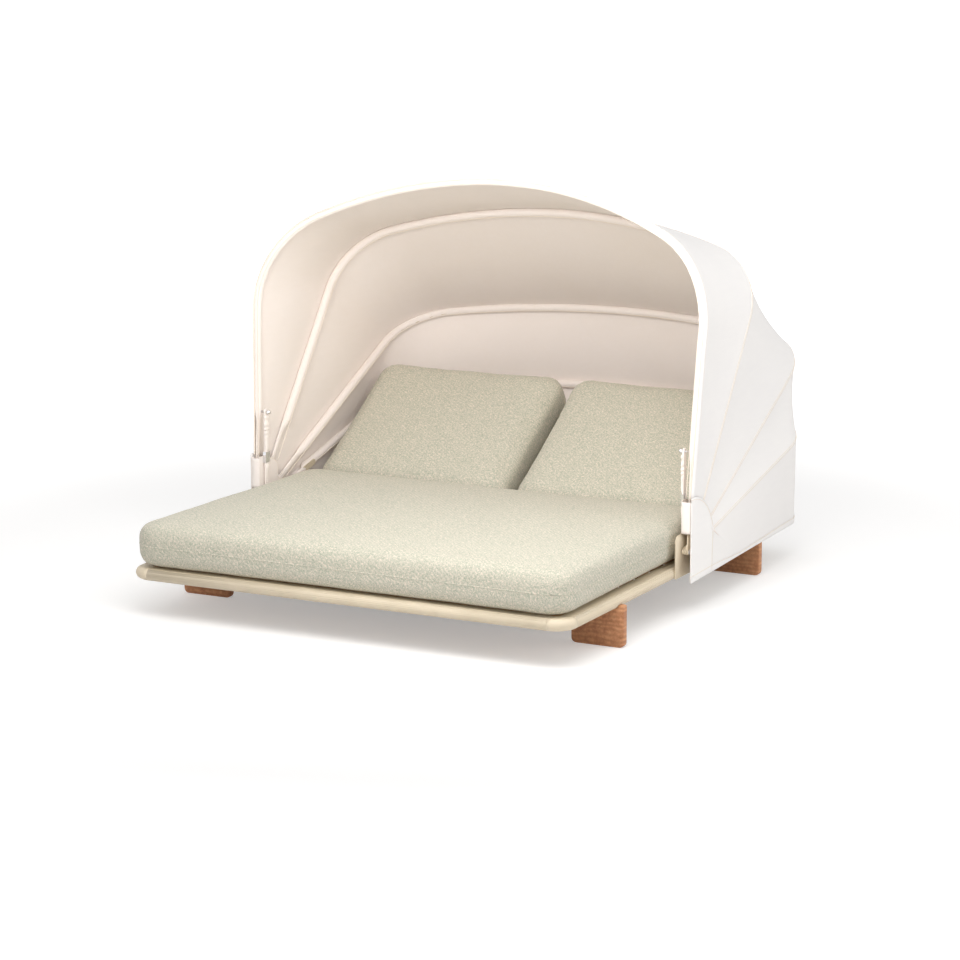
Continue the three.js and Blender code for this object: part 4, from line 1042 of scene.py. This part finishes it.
def fill(obj, voxel, cap):
    """Fills the cushion with air as a cloth shell and keeps each point within a cap of where it was."""
    remesh = obj.modifiers.new("skin", "REMESH")
    remesh.mode = "VOXEL"
    remesh.voxel_size = voxel
    remesh.use_smooth_shade = True
    apply_modifier(obj, "skin")
    rest = [vertex.co.copy() for vertex in obj.data.vertices]
    cloth = obj.modifiers.new("filling", "CLOTH")
    for setting, value in FILLING.items():
        setattr(cloth.settings, setting, value)
    cloth.settings.effector_weights.gravity = 0.0
    cloth.collision_settings.use_collision = False
    cloth.point_cache.frame_start = 1
    cloth.point_cache.frame_end = FILLING_FRAMES
    scene = bpy.context.scene
    for number in range(1, FILLING_FRAMES + 1):
        scene.frame_set(number)
    shell = obj.evaluated_get(bpy.context.evaluated_depsgraph_get())
    moved = [vertex.co.copy() for vertex in shell.data.vertices]
    obj.modifiers.remove(cloth)
    scene.frame_set(1)
    places = []
    for before, after in zip(rest, moved):
        step = after - before
        if step.length > cap:
            step = step.normalized() * cap
        places.extend(before + step)
    move_points(obj, places)


def make_finer(obj):
    subdivision = obj.modifiers.new("round", "SUBSURF")
    subdivision.levels = 1
    subdivision.render_levels = 1
    apply_modifier(obj, "round")
    for polygon in obj.data.polygons:
        polygon.use_smooth = True


def cushion(node, name, body, form, room):
    """A cushion in the space of its CAD form: drawn in, filled as cloth, then held to its seat."""
    low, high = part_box(node)
    bm = cad_copy(node)
    draw_in(bm, form["shrink"])
    made = piece_from(bm, name, WEAVE)
    fill(made, form["voxel"], form["cap"])
    make_finer(made)
    normals = [vertex.normal.copy() for vertex in made.data.vertices]
    places = []
    for vertex, normal in zip(made.data.vertices, normals):
        place = vertex.co + normal * (noise.noise(vertex.co * UNEVENNESS_PITCH) * UNEVENNESS)
        for axis, past in enumerate(room):
            if past is not None:
                place[axis] = min(max(place[axis], low[axis] - past[0]), high[axis] + past[1])
        places.extend(place)
    move_points(made, places)
    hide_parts(node)
    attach(made, body)
    return made


def seat_seam(seat, height):
    """The seam round the seat cushion at one height, laid on its side."""
    tree = BVHTree.FromObject(seat, bpy.context.evaluated_depsgraph_get())
    low = Vector(map(min, *(vertex.co for vertex in seat.data.vertices)))
    high = Vector(map(max, *(vertex.co for vertex in seat.data.vertices)))
    middle = (low + high) / 2
    wide = (high.x - low.x) / 2 - WELT_CORNER
    deep = (high.y - low.y) / 2 - WELT_CORNER
    points = []
    for step in range(WELT_STEPS):
        angle = 2 * math.pi * step / WELT_STEPS
        direction = Vector((math.cos(angle), math.sin(angle), 0.0))
        scale = 1 / max(abs(direction.x) / wide, abs(direction.y) / deep)
        inner = Vector((middle.x + direction.x * scale, middle.y + direction.y * scale, height))
        toward = Vector((direction.x / wide, direction.y / deep, 0.0)).normalized()
        hit = tree.ray_cast(inner, toward)[0]
        if hit is not None:
            points.append(hit - toward * WELT_DEPTH)
    points.append(points[0].copy())
    cord = cord_along(points, WELT_RADIUS, sideways=(0.0, 0.0, 1.0))
    return put_on(piece_from(cord, "seat_cushion_seam", WEAVE))


# Stage


def stage_floor():
    """A wide pale floor that shows white where nothing shades it."""
    bm = bmesh.new()
    bmesh.ops.create_grid(bm, x_segments=1, y_segments=1, size=FLOOR_SIZE)
    finish = Finish(
        "pale_floor", Roughness=0.9, Specular_IOR_Level=0.0, Base_Color=srgb(230, 229, 228),
        Emission_Color=WHITE,
    )
    distance = finish.node("VectorMath", {"operation": "LENGTH"}, i0=finish.coordinates["Object"])
    fade = finish.node(
        "MapRange", {"interpolation_type": "SMOOTHSTEP"}, Value=distance.outputs["Value"],
        From_Min=FLOOR_FADE_FROM, From_Max=FLOOR_FADE_TO, To_Min=FLOOR_LIFT_NEAR, To_Max=FLOOR_LIFT_FAR,
    )
    lift = finish.sum(seen_straight(finish.tree), fade.outputs["Result"], "MULTIPLY")
    finish.feed("Emission Strength", lift)
    piece_from(bm, "floor", finish.material, smooth=False)


def stage_lights():
    for name, place, target, size, power in LAMPS:
        data = bpy.data.lights.new(name, "AREA")
        data.shape = "RECTANGLE"
        data.size, data.size_y = size
        data.energy = power
        lamp = bpy.data.objects.new(name, data)
        lamp.location = place
        lamp.visible_camera = False
        lamp.rotation_euler = (Vector(target) - Vector(place)).to_track_quat("-Z", "Y").to_euler()
        bpy.context.scene.collection.objects.link(lamp)
    world = bpy.data.worlds.new("studio")
    bpy.context.scene.world = world
    world.use_nodes = True
    tree = world.node_tree
    background = tree.nodes["Background"].inputs
    background["Color"].default_value = WHITE
    strength = add_node(tree, "MapRange", Value=seen_straight(tree), To_Min=WORLD_FILL, To_Max=1.0)
    tree.links.new(strength.outputs["Result"], background["Strength"])


def stage_camera():
    data = bpy.data.cameras.new("camera")
    data.lens = CAMERA_LENS
    data.sensor_width = CAMERA_SENSOR
    data.sensor_fit = "HORIZONTAL"
    data.clip_end = 500.0
    camera = bpy.data.objects.new("camera", data)
    camera.location = CAMERA_PLACE
    back = Vector((
        math.sin(CAMERA_AZIMUTH) * math.cos(CAMERA_ELEVATION),
        -math.cos(CAMERA_AZIMUTH) * math.cos(CAMERA_ELEVATION),
        math.sin(CAMERA_ELEVATION),
    ))
    camera.rotation_euler = (-back).to_track_quat("-Z", "Y").to_euler()
    bpy.context.scene.collection.objects.link(camera)
    bpy.context.scene.camera = camera


# The whole scene


def dress_nodes():
    """Puts each CAD node's finish on it, and makes the rounded ones again."""
    for node, obj in NODES.items():
        for beginnings, material in NODE_FINISHES:
            if node.startswith(beginnings):
                obj.data.materials.clear()
                obj.data.materials.append(material)
                break
    for node in NODES:
        for beginnings, *form in ROUNDED_NODES:
            if node.startswith(beginnings):
                rounded_node(node, *form)


def dress_hood():
    panels = [bow_panel(name, index, node) for index, (name, node, _, _) in enumerate(PANELS)]
    back, columns = back_panel()
    dressed = [dress_bow(index) for index in range(len(BOWS))]
    hem = [hem_band(columns), trim_cord("hem_stitching", hem_line(columns, *HEM_STITCH), 0.0008, THREAD)]
    hem += patches(back)
    for word, side in SIDES:
        stay_sleeve(word, side)


def main():
    bpy.context.scene.view_settings.view_transform = "Standard"
    stage_camera()
    stage_floor()
    stage_lights()
    dress_nodes()
    dress_hood()
    seam_height = middle_of("seat_mattress").z - WELT_DROP
    seat = cushion("seat_mattress", "seat_cushion", "platform", SEAT, SEAT_ROOM)
    seat_seam(seat, seam_height)
    for word, _ in SIDES:
        names = "backrest_cushion_" + word, "back_cushion_" + word, "backrest_" + word
        cushion(*names, BACKREST, BACKREST_ROOM)


main()
